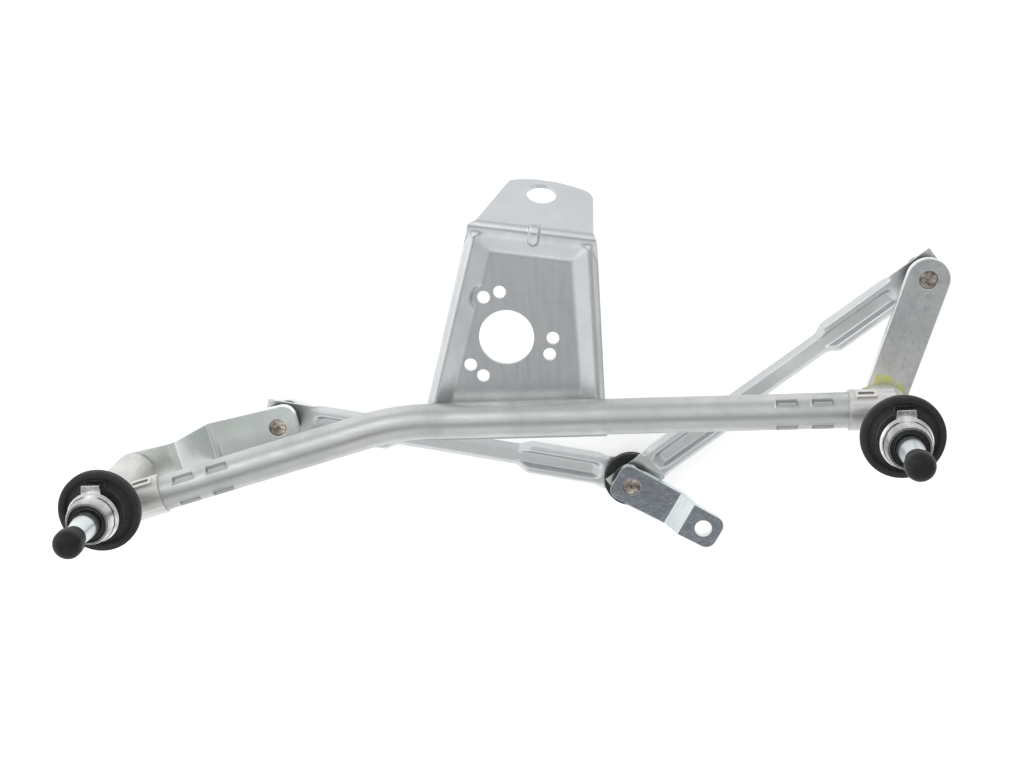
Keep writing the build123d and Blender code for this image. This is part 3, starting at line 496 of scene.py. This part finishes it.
PEENED = plated_steel(
    "peened_steel", (0.46, 0.42, 0.37), (0.13, 0.105, 0.08), (0.08, 0.065, 0.05),
    rough=(0.12, 0.26), strength=0.9, grain=500.0, rounding=0.0002, speckle=0.6, cloud_size=220.0)
GREASED = rubber("seal_rubber_greased", (0.008, 0.008, 0.009), (0.018, 0.018, 0.019), (0.10, 0.26), 0.0, 0.5)
NODE_LOOKS = {
    "motor_crank": DARK_CRANK, "right_crank": RIGHT_CRANK,
    "left_mouth_seal": GREASED, "right_mouth_seal": GREASED,
}


def snout_of(node):
    """Centre of a housing's mouth and the height of its top, in the node's own frame."""
    points = [v.co for v in node.data.vertices]
    top = max(p.z for p in points)
    rim = [p for p in points if p.z > top - MOUTH_RIM]
    return [(min(p[k] for p in rim) + max(p[k] for p in rim)) / 2 for k in (0, 1)], top


def dress(piece, slot):
    """Give the piece the material that stands for a slot of the record."""
    piece.data.materials.clear()
    piece.data.materials.append(MATERIALS[slot])


for housing in ("left_spindle_housing", "right_spindle_housing"):
    NODE_LOOKS[housing] = cast_alloy("cast_alloy_" + housing, snout_of(nodes[housing]))
for entry in frame["record"]["subparts"]:
    node = nodes[entry["node"]]
    look = NODE_LOOKS.get(entry["node"], MATERIALS[entry["material_slot"]])
    for index in range(len(node.material_slots)):
        node.material_slots[index].material = look


# ---------------------------------------------------------------- link rods
ROD_END = 11.5 * MM
ROD_HALF = 10.3 * MM
WAIST_HALF = 6.6 * MM
ROD_SHEET = 2.0 * MM
SHOULDER = 62.0 * MM               # pivot to where the waist starts
SHOULDER_RUN = 9.0 * MM
GROOVE_START = 17.0 * MM           # the groove's rounded end ramps down from here
GROOVE_RUN = 7.0 * MM
GROOVE_SHARE = 0.52
GROOVE_END_R = 3.5 * MM
FOLD_START = 15.0 * MM             # the edges fold down from here
FOLD_RUN = 7.0 * MM
CORNER = 0.05                      # corners are rounded over this share of the half width
ROD_STEP = 0.9 * MM
ROD_COLUMNS = 56
# heights in millimetres against the share of the half width, from the middle to the edge
GROOVE_SECTION = [(0.0, -3.9), (0.32, -3.9), (0.50, 0.0)]
FOLD_SECTION = [(0.80, 0.0), (1.0, -5.4)]
WAIST_SECTION = [(0.0, -3.9), (0.58, -3.9), (1.0, -7.4)]


def link_rod(name, outer, inner, top):
    """Pressed rod from the outer pin to the inner pin, with its top face at height top."""
    direction = Vector((inner.x - outer.x, inner.y - outer.y, 0))
    length = direction.length
    direction.normalize()
    across = Vector((-direction.y, direction.x, 0))
    origin = Vector((outer.x, outer.y, top))
    rows = []
    steps = int((length + 2 * ROD_END) / ROD_STEP)
    for i in range(steps + 1):
        s = mix(-ROD_END, length + ROD_END, i / steps)
        inside = min(s, length - s)
        waist = smooth((inside - SHOULDER) / SHOULDER_RUN)
        fold = smooth((inside - FOLD_START) / FOLD_RUN)
        half = mix(ROD_HALF, WAIST_HALF, waist)
        row = []
        for j in range(ROD_COLUMNS + 1):
            v = mix(-1.0, 1.0, j / ROD_COLUMNS)
            beside = min(abs(v) / GROOVE_SHARE, 1.0)
            rounding = GROOVE_END_R * (1 - math.sqrt(1 - beside * beside))
            groove = smooth((inside - GROOVE_START - rounding) / GROOVE_RUN)
            wide = bent(GROOVE_SECTION, abs(v), CORNER) * groove
            wide += bent(FOLD_SECTION, abs(v), CORNER) * fold
            height = mix(wide, bent(WAIST_SECTION, abs(v), CORNER), waist)
            row.append(origin + direction * s + across * (v * half) + Vector((0, 0, height * MM)))
        rows.append(row)
    return sheet_solid(name, rows, ROD_SHEET)


right_rod = link_rod("right_link_rod_pressing", RIGHT_PIN, MOTOR_PIN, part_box("right_link_rod")[1].z)
left_rod = link_rod("left_link_rod_pressing", LEFT_PIN, MOTOR_PIN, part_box("left_link_rod")[1].z)
SOCKET_HOLE = 8.5 * MM
OPEN_BUSH_HOLE = 9.5 * MM
ROD_PUNCH = 30.0 * MM
for rod, body, node, holes in (
    (right_rod, "right_rod", "right_link_rod", ((RIGHT_PIN, SOCKET_HOLE), (MOTOR_PIN, OPEN_BUSH_HOLE))),
    (left_rod, "left_rod", "left_link_rod", ((LEFT_PIN, SOCKET_HOLE), (MOTOR_PIN, SOCKET_HOLE))),
):
    for pin, radius in holes:
        punch(rod, pin, (0, 0, 1), radius, ROD_PUNCH)
    shade(rod, 40)
    dress(rod, "rod_zinc")
    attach(rod, body)
    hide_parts(node)


# ---------------------------------------------------------------- motor plate
# sizes in millimetres; the edges and creases are (y, x) points
PLATE_SHEET = 2.5
RIB = 4.4
FOOT = -59.4
LEFT_EDGE = [(FOOT, -51.0), (-36.5, -46.8), (62.0, -18.9), (66.0, -17.8)]
RIGHT_EDGE = [(FOOT, 54.5), (-37.0, 54.0), (51.0, 52.6), (58.5, 50.5)]
LEFT_CREASE = [(-60.0, -40.0), (55.5, -5.0), (68.0, -1.2)]
RIGHT_CREASE = [(-60.0, 41.5), (51.0, 38.0), (68.0, 37.5)]
# the tab's bend follows the line between these two points
CREASE_LEFT = Vector((-13.0, 67.5, -PLATE_SHEET))
CREASE_RIGHT = Vector((51.0, 57.5, -PLATE_SHEET))
TAB_BEND = math.radians(60)
BEND_R = 5.0
# heights of the border: across the ribs against the share of their width, from the outer edge
# to the panel, and at the top against the distance out from the crease
RIB_SECTION = [(0.0, 0.0), (0.27, RIB), (0.35, RIB), (1.0, 0.0)]
RIB_CORNER = 0.06
TOP_SECTION = [(-17.0, 0.0), (-8.5, 3.5), (-4.0, RIB)]
TOP_CORNER = 1.2
TOP_START, TOP_RUN = -9.0, 3.0     # the ribs give way to the top border from here
RIB_JOIN = 5                       # the higher this power, the sharper the corners of the border
# ends of the bend, of the tab's foot and of its far edge, along the crease
BEND_ENDS = (-5.2, 66.4)
TAB_FOOT = (0.0, 64.5)
TAB_END = (13.5, 62.0)
# the tab's length down its slope against the place along the crease
TAB_TOP = [
    (13.5, 32.6), (15.0, 34.2), (22.0, 36.2), (30.0, 37.3), (40.0, 36.8), (50.0, 34.6), (57.0, 32.4),
    (60.0, 30.2), (62.0, 26.5)]
DENT = Vector((-11.8, 23.2))       # clearance beside one screw hole
DENT_R = 6.4
DENT_WALL = 1.1
GUSSET_PLACE = 32.0                # along the crease
GUSSET_ENDS = (-8.0, 0.5)          # out from the crease
GUSSET_R = 3.3
GUSSET_RISE = 1.6
GUSSET_WALL = 0.8
TUBE_AXIS_Y = -45.0
TUBE_RADIUS = 10.0
TUBE_CLEAR = 0.15
PLATE_ROWS = 149
PLATE_COLUMNS = 132
BEND_ROWS = 8
TAB_ROWS = 40

crease = (CREASE_RIGHT - CREASE_LEFT).normalized()
plan_out = Vector((-crease.y, crease.x, 0))


def gusset(place, beyond):
    """Height of the gusset at a place along the crease and a distance beyond its end."""
    near = math.hypot(place - GUSSET_PLACE, max(0.0, beyond))
    return GUSSET_RISE * smooth((GUSSET_R - near) / GUSSET_WALL)


def plate_height(x, y):
    """Height of the pressing's top face in millimetres at a point of the plan."""
    left, right = straight(LEFT_EDGE, y), straight(RIGHT_EDGE, y)
    crease_left, crease_right = straight(LEFT_CREASE, y), straight(RIGHT_CREASE, y)
    rise_left = bent(RIB_SECTION, (x - left) / (crease_left - left), RIB_CORNER)
    rise_right = bent(RIB_SECTION, (right - x) / (right - crease_right), RIB_CORNER)
    from_crease = Vector((x, y, 0)) - CREASE_LEFT
    out = from_crease.dot(plan_out)
    rise_top = bent(TOP_SECTION, out, TOP_CORNER)
    joined = max(rise_left, 0) ** RIB_JOIN + max(rise_right, 0) ** RIB_JOIN + rise_top ** RIB_JOIN
    rise = min(RIB, joined ** (1 / RIB_JOIN))
    if out > TOP_START:
        rise = mix(rise, rise_top, smooth((out - TOP_START) / TOP_RUN))
    # the ribs run out under the round of the tube
    beside_tube = abs(y - TUBE_AXIS_Y)
    if beside_tube < TUBE_RADIUS:
        under = TUBE_RADIUS - math.sqrt(TUBE_RADIUS ** 2 - beside_tube ** 2) - TUBE_CLEAR
        rise = min(rise, max(0.0, under))
    elif y < TUBE_AXIS_Y:
        rise = 0.0
    dent = (Vector((x, y)) - DENT).length
    rise = mix(0.0, rise, smooth((dent - DENT_R) / DENT_WALL))
    return rise + gusset(from_crease.dot(crease), GUSSET_ENDS[0] - out)


def plate_panel(bend_from):
    """Rows of the flat part and its raised border, up to the start of the tab's bend."""
    top_left, top_right = (CREASE_LEFT + plan_out * bend_from + crease * a for a in BEND_ENDS)
    rows = []
    for i in range(PLATE_ROWS + 1):
        share = i / PLATE_ROWS
        y_left, y_right = mix(FOOT, top_left.y, share), mix(FOOT, top_right.y, share)
        x_left, x_right = straight(LEFT_EDGE, y_left), straight(RIGHT_EDGE, y_right)
        row = []
        for j in range(PLATE_COLUMNS + 1):
            x, y = mix(x_left, x_right, j / PLATE_COLUMNS), mix(y_left, y_right, j / PLATE_COLUMNS)
            row.append(Vector((x, y, plate_height(x, y))) * MM)
        rows.append(row)
    return rows


def plate_bend(bend_from, centre_z):
    """Rows round the bend between the panel and the tab."""
    rows = []
    for i in range(1, BEND_ROWS + 1):
        turn = TAB_BEND * i / BEND_ROWS
        out = bend_from + BEND_R * math.sin(turn)
        face_out = plan_out * math.sin(turn) + Vector((0, 0, math.cos(turn)))
        ease = smooth(i / BEND_ROWS)
        start, end = (mix(a, b, ease) for a, b in zip(BEND_ENDS, TAB_FOOT))
        row = []
        for j in range(PLATE_COLUMNS + 1):
            a = mix(start, end, j / PLATE_COLUMNS)
            point = CREASE_LEFT + crease * a + plan_out * out
            point.z = centre_z + BEND_R * math.cos(turn)
            row.append((point + face_out * gusset(a, out - GUSSET_ENDS[1])) * MM)
        rows.append(row)
    return rows


def plate_tab(bend_from, centre_z):
    """Rows of the flat tab, down its slope to its rounded far edge."""
    start_out = bend_from + BEND_R * math.sin(TAB_BEND)
    start_z = centre_z + BEND_R * math.cos(TAB_BEND)
    down = plan_out * math.cos(TAB_BEND) - Vector((0, 0, 1)) * math.sin(TAB_BEND)
    start_down = (start_out - PLATE_SHEET * math.sin(TAB_BEND)) / math.cos(TAB_BEND)
    rows = []
    for i in range(1, TAB_ROWS + 1):
        share = i / TAB_ROWS
        start, end = (mix(a, b, share) for a, b in zip(TAB_FOOT, TAB_END))
        row = []
        for j in range(PLATE_COLUMNS + 1):
            across = j / PLATE_COLUMNS
            point = CREASE_LEFT + crease * mix(start, end, across) + plan_out * start_out
            point.z = start_z
            length = straight(TAB_TOP, mix(*TAB_END, across)) - start_down
            row.append((point + down * (share * length)) * MM)
        rows.append(row)
    return rows


def motor_plate():
    tangent = BEND_R * math.tan(TAB_BEND / 2)
    land_out = (RIB - (-PLATE_SHEET + PLATE_SHEET * math.cos(TAB_BEND))) / math.tan(TAB_BEND)
    bend_from = PLATE_SHEET * math.sin(TAB_BEND) - land_out - tangent
    centre_z = RIB - BEND_R
    rows = plate_panel(bend_from) + plate_bend(bend_from, centre_z) + plate_tab(bend_from, centre_z)
    return sheet_solid("motor_plate_pressing", rows, PLATE_SHEET * MM)


plate = motor_plate()
pilot = mounts["motor_pilot"]
PANEL_PUNCH, TAB_PUNCH = 20.0 * MM, 8.0 * MM
punch(plate, Vector(pilot["pos_m"]), pilot["axis"], pilot["dims"]["r_mm"] * MM, PANEL_PUNCH)
BOLT_CIRCLE_R = 26.0 * MM
BOLT_HOLE_R = 3.55 * MM
BOLT_FIRST_ANGLES = (-3, -24)      # the two sets of three holes, in degrees
for first in BOLT_FIRST_ANGLES:
    for third in range(3):
        turn = math.radians(first + 120 * third)
        hole = Vector((BOLT_CIRCLE_R * math.cos(turn), BOLT_CIRCLE_R * math.sin(turn), 0))
        punch(plate, hole, (0, 0, 1), BOLT_HOLE_R, PANEL_PUNCH)
tab = mounts["tab_grommet"]
punch(plate, Vector(tab["pos_m"]), tab["axis"], tab["dims"]["r_mm"] * MM, TAB_PUNCH)
shade(plate, 40)
dress(plate, "plate_zinc")
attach(plate, "frame")
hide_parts("motor_plate")


# ---------------------------------------------------------------- frame tube
TUBE_R = TUBE_RADIUS * MM
TUBE_WALL = 1.5 * MM
TUBE_Y = TUBE_AXIS_Y * MM
TUBE_BEND_R = 130.0 * MM
SPIGOT_REACH = 25.0 * MM
SPIGOT_SIDE = 8.0 * MM
LEFT_RUN = math.radians(13.8)
LEFT_TUBE_Z = 32.0 * MM
CRIMPS = ((8.5 * MM, 20.5 * MM), (28.0 * MM, 40.0 * MM))
CRIMP_HALF = 1.9 * MM
CRIMP_DEPTH = 1.15 * MM
CRIMP_WALL = 0.8 * MM              # the skin sinks over this width inside the crimp's outline
CRIMP_RIM = 0.4 * MM
RIM_START = 0.9 * MM               # the rim starts this far outside the outline
RIM_RISE = 0.6 * MM
RIM_FALL = 0.5 * MM
FINE_STEP = 0.4 * MM               # rows of the mesh along the crimps, and elsewhere
COARSE_STEP = 1.6 * MM
FINE_MARGIN = 2.0 * MM
TUBE_AROUND = 160


def spaced(length):
    """Distances from a tube end, close together along the crimps."""
    places = [0.0]
    while places[-1] < length - COARSE_STEP:
        step = FINE_STEP if places[-1] < CRIMPS[-1][1] + FINE_MARGIN else COARSE_STEP
        places.append(places[-1] + step)
    return places + [length]


def tube_route():
    """Centre line of the tube as points with their distance from the nearer tube end."""
    right_end = Vector((RIGHT_SPINDLE.x - SPIGOT_REACH, TUBE_Y, TUBE_R))
    root = Vector((
        LEFT_SPINDLE.x + SPIGOT_SIDE * math.sin(LEFT_RUN),
        LEFT_SPINDLE.y - SPIGOT_SIDE * math.cos(LEFT_RUN), LEFT_TUBE_Z))
    plan_run = (TUBE_Y - root.y) / math.sin(LEFT_RUN)
    corner = Vector((root.x + plan_run * math.cos(LEFT_RUN), TUBE_Y, TUBE_R))
    left_end = root + (corner - root).normalized() * SPIGOT_REACH
    first, second = (corner - right_end).normalized(), (left_end - corner).normalized()
    turn = first.angle(second)
    tangent = TUBE_BEND_R * math.tan(turn / 2)
    bend_start, bend_end = corner - first * tangent, corner + second * tangent
    inward = (second - first * first.dot(second)).normalized()
    centre = bend_start + inward * TUBE_BEND_R
    points = [(right_end + first * s, first) for s in spaced((bend_start - right_end).length)]
    arcs = int(turn * TUBE_BEND_R / COARSE_STEP)
    for i in range(1, arcs + 1):
        angle = turn * i / arcs
        offset = first * math.sin(angle) - inward * math.cos(angle)
        points.append((centre + offset * TUBE_BEND_R, first * math.cos(angle) + inward * math.sin(angle)))
    left_run = spaced((left_end - bend_end).length)
    points += [(left_end - second * s, second) for s in reversed(left_run[:-1])]
    return [(p, d, min((p - right_end).length, (left_end - p).length)) for p, d in points]


def crimp(from_end, turn):
    """How far the tube's skin is pushed in or out by a crimp at this place."""
    beside = (turn + math.pi / 4) % (math.pi / 2)
    beside = min(beside, math.pi / 2 - beside) * TUBE_R
    for start, end in CRIMPS:
        if start < from_end < end:
            lengthways = min(from_end - start, end - from_end)
        else:
            lengthways = -min(abs(from_end - start), abs(from_end - end))
        inside = min(CRIMP_HALF - beside, lengthways)
        if inside > -RIM_START:
            sunk = -CRIMP_DEPTH * smooth(inside / CRIMP_WALL)
            rim = smooth((inside + RIM_START) / RIM_RISE) * (1 - smooth(inside / RIM_FALL))
            return sunk + CRIMP_RIM * rim
    return 0.0


def frame_tube():
    around = TUBE_AROUND
    verts, faces = [], []
    route = tube_route()
    for point, direction, from_end in route:
        upward = (Vector((0, 0, 1)) - direction * direction.z).normalized()
        aside = direction.cross(upward)
        for radius in (TUBE_R, TUBE_R - TUBE_WALL):
            for k in range(around):
                turn = 2 * math.pi * k / around
                reach = radius + (crimp(from_end, turn) if radius == TUBE_R else 0.0)
                verts.append(point + upward * (reach * math.cos(turn)) + aside * (reach * math.sin(turn)))
    ring = 2 * around
    last = (len(route) - 1) * ring
    for i in range(len(route) - 1):
        for k in range(around):
            n = (k + 1) % around
            a, b = i * ring + k, i * ring + n
            faces.append((a, b, b + ring, a + ring))
            faces.append((a + around, a + around + ring, b + around + ring, b + around))
    for base in (0, last):
        for k in range(around):
            n = (k + 1) % around
            faces.append((base + k, base + n, base + around + n, base + around + k))
    return new_object("frame_tube_bent", verts, faces)


tube = frame_tube()
shade(tube, 50)
dress(tube, "tube_zinc")
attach(tube, "frame")
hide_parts("frame_tube")


# ---------------------------------------------------------------- peened rivet ends
CUP_R = 4.95 * MM
CUP_RIM = 1.35 * MM
CUP_FLOOR = 0.05 * MM
CUP_MIDDLE = 0.1 * MM
CUP_SUNK = 0.05 * MM               # how far the cup's foot goes into the pin
CUP_AROUND, CUP_RINGS = 56, 14


def rivet_cup(name, pin_node, pin, phase):
    """Peened end of a rivet in the crank's recess: a shallow, uneven cup."""
    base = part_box(pin_node)[1].z - CUP_SUNK

    def on_cup(share, turn, height):
        reach = CUP_R * share
        return Vector((pin.x + reach * math.cos(turn), pin.y + reach * math.sin(turn), base + height))

    turns = [2 * math.pi * k / CUP_AROUND for k in range(CUP_AROUND)]
    verts, faces = [on_cup(0.0, 0.0, CUP_MIDDLE)], []
    for i in range(1, CUP_RINGS + 1):
        share = i / CUP_RINGS
        for turn in turns:
            uneven = 0.16 * math.sin(3 * turn + phase) + 0.11 * math.sin(5 * turn - 2 * phase + 4 * share)
            level = 0.80 + uneven * math.sin(math.pi * share) + 0.12 * math.sin(turn + phase)
            verts.append(on_cup(share, turn, CUP_FLOOR + CUP_RIM * share ** 1.4 * level))
    last = 1 + (CUP_RINGS - 1) * CUP_AROUND
    foot = len(verts)
    verts += [on_cup(1.0, turn, 0.0) for turn in turns]
    for k in range(CUP_AROUND):
        n = (k + 1) % CUP_AROUND
        faces.append((0, 1 + k, 1 + n))
        for i in range(CUP_RINGS - 1):
            a = 1 + i * CUP_AROUND
            faces.append((a + k, a + CUP_AROUND + k, a + CUP_AROUND + n, a + n))
        faces.append((last + k, foot + k, foot + n, last + n))
    faces.append(tuple(foot + k for k in range(CUP_AROUND)))
    return new_object(name, verts, faces)


for name, pin_node, pin, body, phase in (
    ("left_rivet_end", "left_ball_pin", LEFT_PIN, "left_spindle_arm", 0.6),
    ("right_rivet_end", "right_ball_pin", RIGHT_PIN, "right_spindle_arm", 2.3),
    ("motor_rivet_end", "motor_ball_stud", MOTOR_PIN, "motor_crank_arm", 4.1),
):
    cup = rivet_cup(name, pin_node, pin, phase)
    shade(cup, 50)
    cup.data.materials.append(PEENED)
    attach(cup, body)


# ---------------------------------------------------------------- paint dab on the right crank
DAB_R = 12.5 * MM
DAB_THICKNESS = 0.12 * MM
DAB_SUNK = 0.05 * MM
DAB_TURNS = (22, 150)
DAB_STEPS = 90
# the dab's width in millimetres against the share of its length
DAB_WIDTHS = [
    (0.0, 0.5), (0.2, 2.3), (0.36, 1.6), (0.45, 4.2), (0.62, 4.6), (0.72, 1.0), (0.86, 0.9),
    (0.94, 2.4), (1.0, 0.4)]
DAB_LEAST = 0.25
DAB_THIN = (0.68, 0.88)            # along this stretch the dab stands off the barrel


def paint_dab():
    """Thin curved smear of paint on the crank, along the rim of the barrel."""
    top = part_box("right_crank")[1].z
    verts, faces = [], []
    for i in range(DAB_STEPS + 1):
        share = i / DAB_STEPS
        turn = math.radians(mix(*DAB_TURNS, share))
        width = straight(DAB_WIDTHS, share, smooth)
        width += 0.35 * math.sin(23 * share) + 0.25 * math.sin(61 * share + 1.0)
        near = DAB_R + (DAB_LEAST * MM if DAB_THIN[0] < share < DAB_THIN[1] else 0.0)
        far = DAB_R + max(DAB_LEAST, width) * MM
        for radius, thickness in ((near, DAB_THICKNESS), (far, DAB_THICKNESS * 0.5)):
            x = RIGHT_SPINDLE.x + radius * math.cos(turn)
            y = RIGHT_SPINDLE.y + radius * math.sin(turn)
            verts += [Vector((x, y, top - DAB_SUNK)), Vector((x, y, top + thickness))]
    for i in range(DAB_STEPS):
        a = 4 * i
        b = a + 4
        faces += [(a, a + 1, b + 1, b), (a + 1, a + 3, b + 3, b + 1)]
        faces += [(a + 3, a + 2, b + 2, b + 3), (a + 2, a, b, b + 2)]
    end = 4 * DAB_STEPS
    faces += [(0, 2, 3, 1), (end, end + 1, end + 3, end + 2)]
    return new_object("paint_dab", verts, faces)


dab = paint_dab()
shade(dab, 60)
dab.data.materials.append(paint_mark("inspection_paint"))
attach(dab, "right_spindle_arm")


# ---------------------------------------------------------------- floor, light and camera
FLOOR_HALF = 6.0
FLOOR_GAP = 0.2 * MM
FLOOR_GLOW = 0.42
floor_mesh = bpy.data.meshes.new("floor")
bm = bmesh.new()
bmesh.ops.create_grid(bm, x_segments=1, y_segments=1, size=FLOOR_HALF)
bm.to_mesh(floor_mesh)
bm.free()
floor = bpy.data.objects.new("floor", floor_mesh)
floor.location = (0, 0, cad_box[0][2] - FLOOR_GAP)
bpy.context.scene.collection.objects.link(floor)
floor_look = Shader("floor", metallic=0.0)
floor_grain = floor_look.noise(30.0, 2.0)
floor_look.surface.inputs["Emission Color"].default_value = (1, 1, 1, 1)
floor_look.surface.inputs["Emission Strength"].default_value = FLOOR_GLOW
floor_look.finish(
    floor_look.blend(floor_grain, (0.86, 0.86, 0.86), (0.88, 0.88, 0.88)),
    floor_look.spread(floor_grain, 0, 1, 0.8, 0.9), floor_grain, 0.02, 0.0002)
floor.data.materials.append(floor_look.material)


# brightness against the angle from straight up towards +Y, in degrees
SKY = [
    (-90, 0.8), (-45, 1.0), (-29, 0.95), (-22, 0.46), (-4, 0.42), (4, 0.98), (35, 0.95), (60, 0.7),
    (90, 0.75)]
GAP_PLACE = (0.03, -17.0)          # x of the direction, and the same angle as in SKY
GAP_SIZE = (0.30, 17.0)
GAP_SOFTNESS = (1.0, 0.35)
GAP_DARKNESS = 0.55
LEFT_SIDE = (-0.35, -0.75)         # the light grows between these x of the direction
LEFT_BOOST = 0.55
RIGHT_SIDE = (0.55, 0.9)           # and falls off between these
RIGHT_LOSS = 0.3


def studio_light():
    """World light: bright all round, with a darker strip overhead and a dark gap in its middle."""
    world = bpy.data.worlds.new("studio")
    bpy.context.scene.world = world
    world.use_nodes = True
    tree = world.node_tree
    tree.nodes.clear()

    def add(kind, **values):
        node = tree.nodes.new(kind)
        for key, value in values.items():
            setattr(node, key, value)
        return node

    def feed(source, socket):
        if isinstance(source, (int, float)):
            socket.default_value = source
        else:
            tree.links.new(source, socket)

    def maths(operation, a, b=0.0):
        node = add("ShaderNodeMath", operation=operation)
        feed(a, node.inputs[0])
        feed(b, node.inputs[1])
        return node.outputs[0]

    def step(value, low, high):
        node = add("ShaderNodeMapRange", interpolation_type="SMOOTHSTEP")
        feed(value, node.inputs["Value"])
        node.inputs["From Min"].default_value = low
        node.inputs["From Max"].default_value = high
        return node.outputs["Result"]

    output = add("ShaderNodeOutputWorld")
    background = add("ShaderNodeBackground")
    place = add("ShaderNodeTexCoord")
    split = add("ShaderNodeSeparateXYZ")
    tree.links.new(place.outputs["Generated"], split.inputs[0])
    x, y, z = split.outputs
    angle = maths("MULTIPLY", maths("ARCTAN2", y, z), 180 / math.pi)
    ramp = add("ShaderNodeValToRGB")
    feed(maths("DIVIDE", maths("ADD", angle, 90.0), 180.0), ramp.inputs[0])
    while len(ramp.color_ramp.elements) < len(SKY):
        ramp.color_ramp.elements.new(0.5)
    for element, (degrees_from_top, level) in zip(ramp.color_ramp.elements, SKY):
        element.position = (degrees_from_top + 90) / 180
        element.color = (level, level, level * 1.01, 1)
    gap_x = maths("POWER", maths("DIVIDE", maths("SUBTRACT", x, GAP_PLACE[0]), GAP_SIZE[0]), 2.0)
    gap_y = maths("POWER", maths("DIVIDE", maths("SUBTRACT", angle, GAP_PLACE[1]), GAP_SIZE[1]), 2.0)
    gap = maths("SQRT", maths("ADD", gap_x, gap_y))
    shade_of_gap = maths("SUBTRACT", 1.0, maths("MULTIPLY", step(gap, *GAP_SOFTNESS), GAP_DARKNESS))
    left = maths("MULTIPLY", step(x, *LEFT_SIDE), LEFT_BOOST)
    right = maths("MULTIPLY", step(x, *RIGHT_SIDE), RIGHT_LOSS)
    side = maths("SUBTRACT", maths("ADD", 1.0, left), right)
    total = maths("MULTIPLY", maths("MULTIPLY", ramp.outputs[0], shade_of_gap), side)
    tree.links.new(total, background.inputs["Strength"])
    background.inputs["Color"].default_value = (1.0, 1.0, 1.01, 1)
    tree.links.new(background.outputs[0], output.inputs["Surface"])


def softbox(name, place, aim, size, power):
    light = bpy.data.lights.new(name, "AREA")
    light.shape = "RECTANGLE"
    light.size, light.size_y = size
    light.energy = power
    lamp = bpy.data.objects.new(name, light)
    lamp.location = place
    lamp.rotation_euler = (Vector(aim) - Vector(place)).to_track_quat("-Z", "Y").to_euler()
    bpy.context.scene.collection.objects.link(lamp)


studio_light()
softbox("key_softbox", (-0.6, 1.0, 1.2), (0, 0, 0), (1.2, 0.8), 3.0)

camera_data = bpy.data.cameras.new("camera")
camera_data.lens = 56.25
camera_data.sensor_width = 36.0
camera = bpy.data.objects.new("camera", camera_data)
CAMERA_PLACE = Vector((0.0702, 0.2008, 0.8718))
LOOK_ALONG = Vector((-0.0757, -0.2524, -0.9650)).normalized()
PICTURE_UP = Vector((0.0286, 0.9670, -0.2550))
side = LOOK_ALONG.cross(PICTURE_UP).normalized()
camera.matrix_world = Matrix.Translation(CAMERA_PLACE) @ Matrix(
    (side, side.cross(LOOK_ALONG), -LOOK_ALONG)).transposed().to_4x4()
bpy.context.scene.collection.objects.link(camera)
bpy.context.scene.camera = camera
bpy.context.scene.view_settings.view_transform = "Standard"
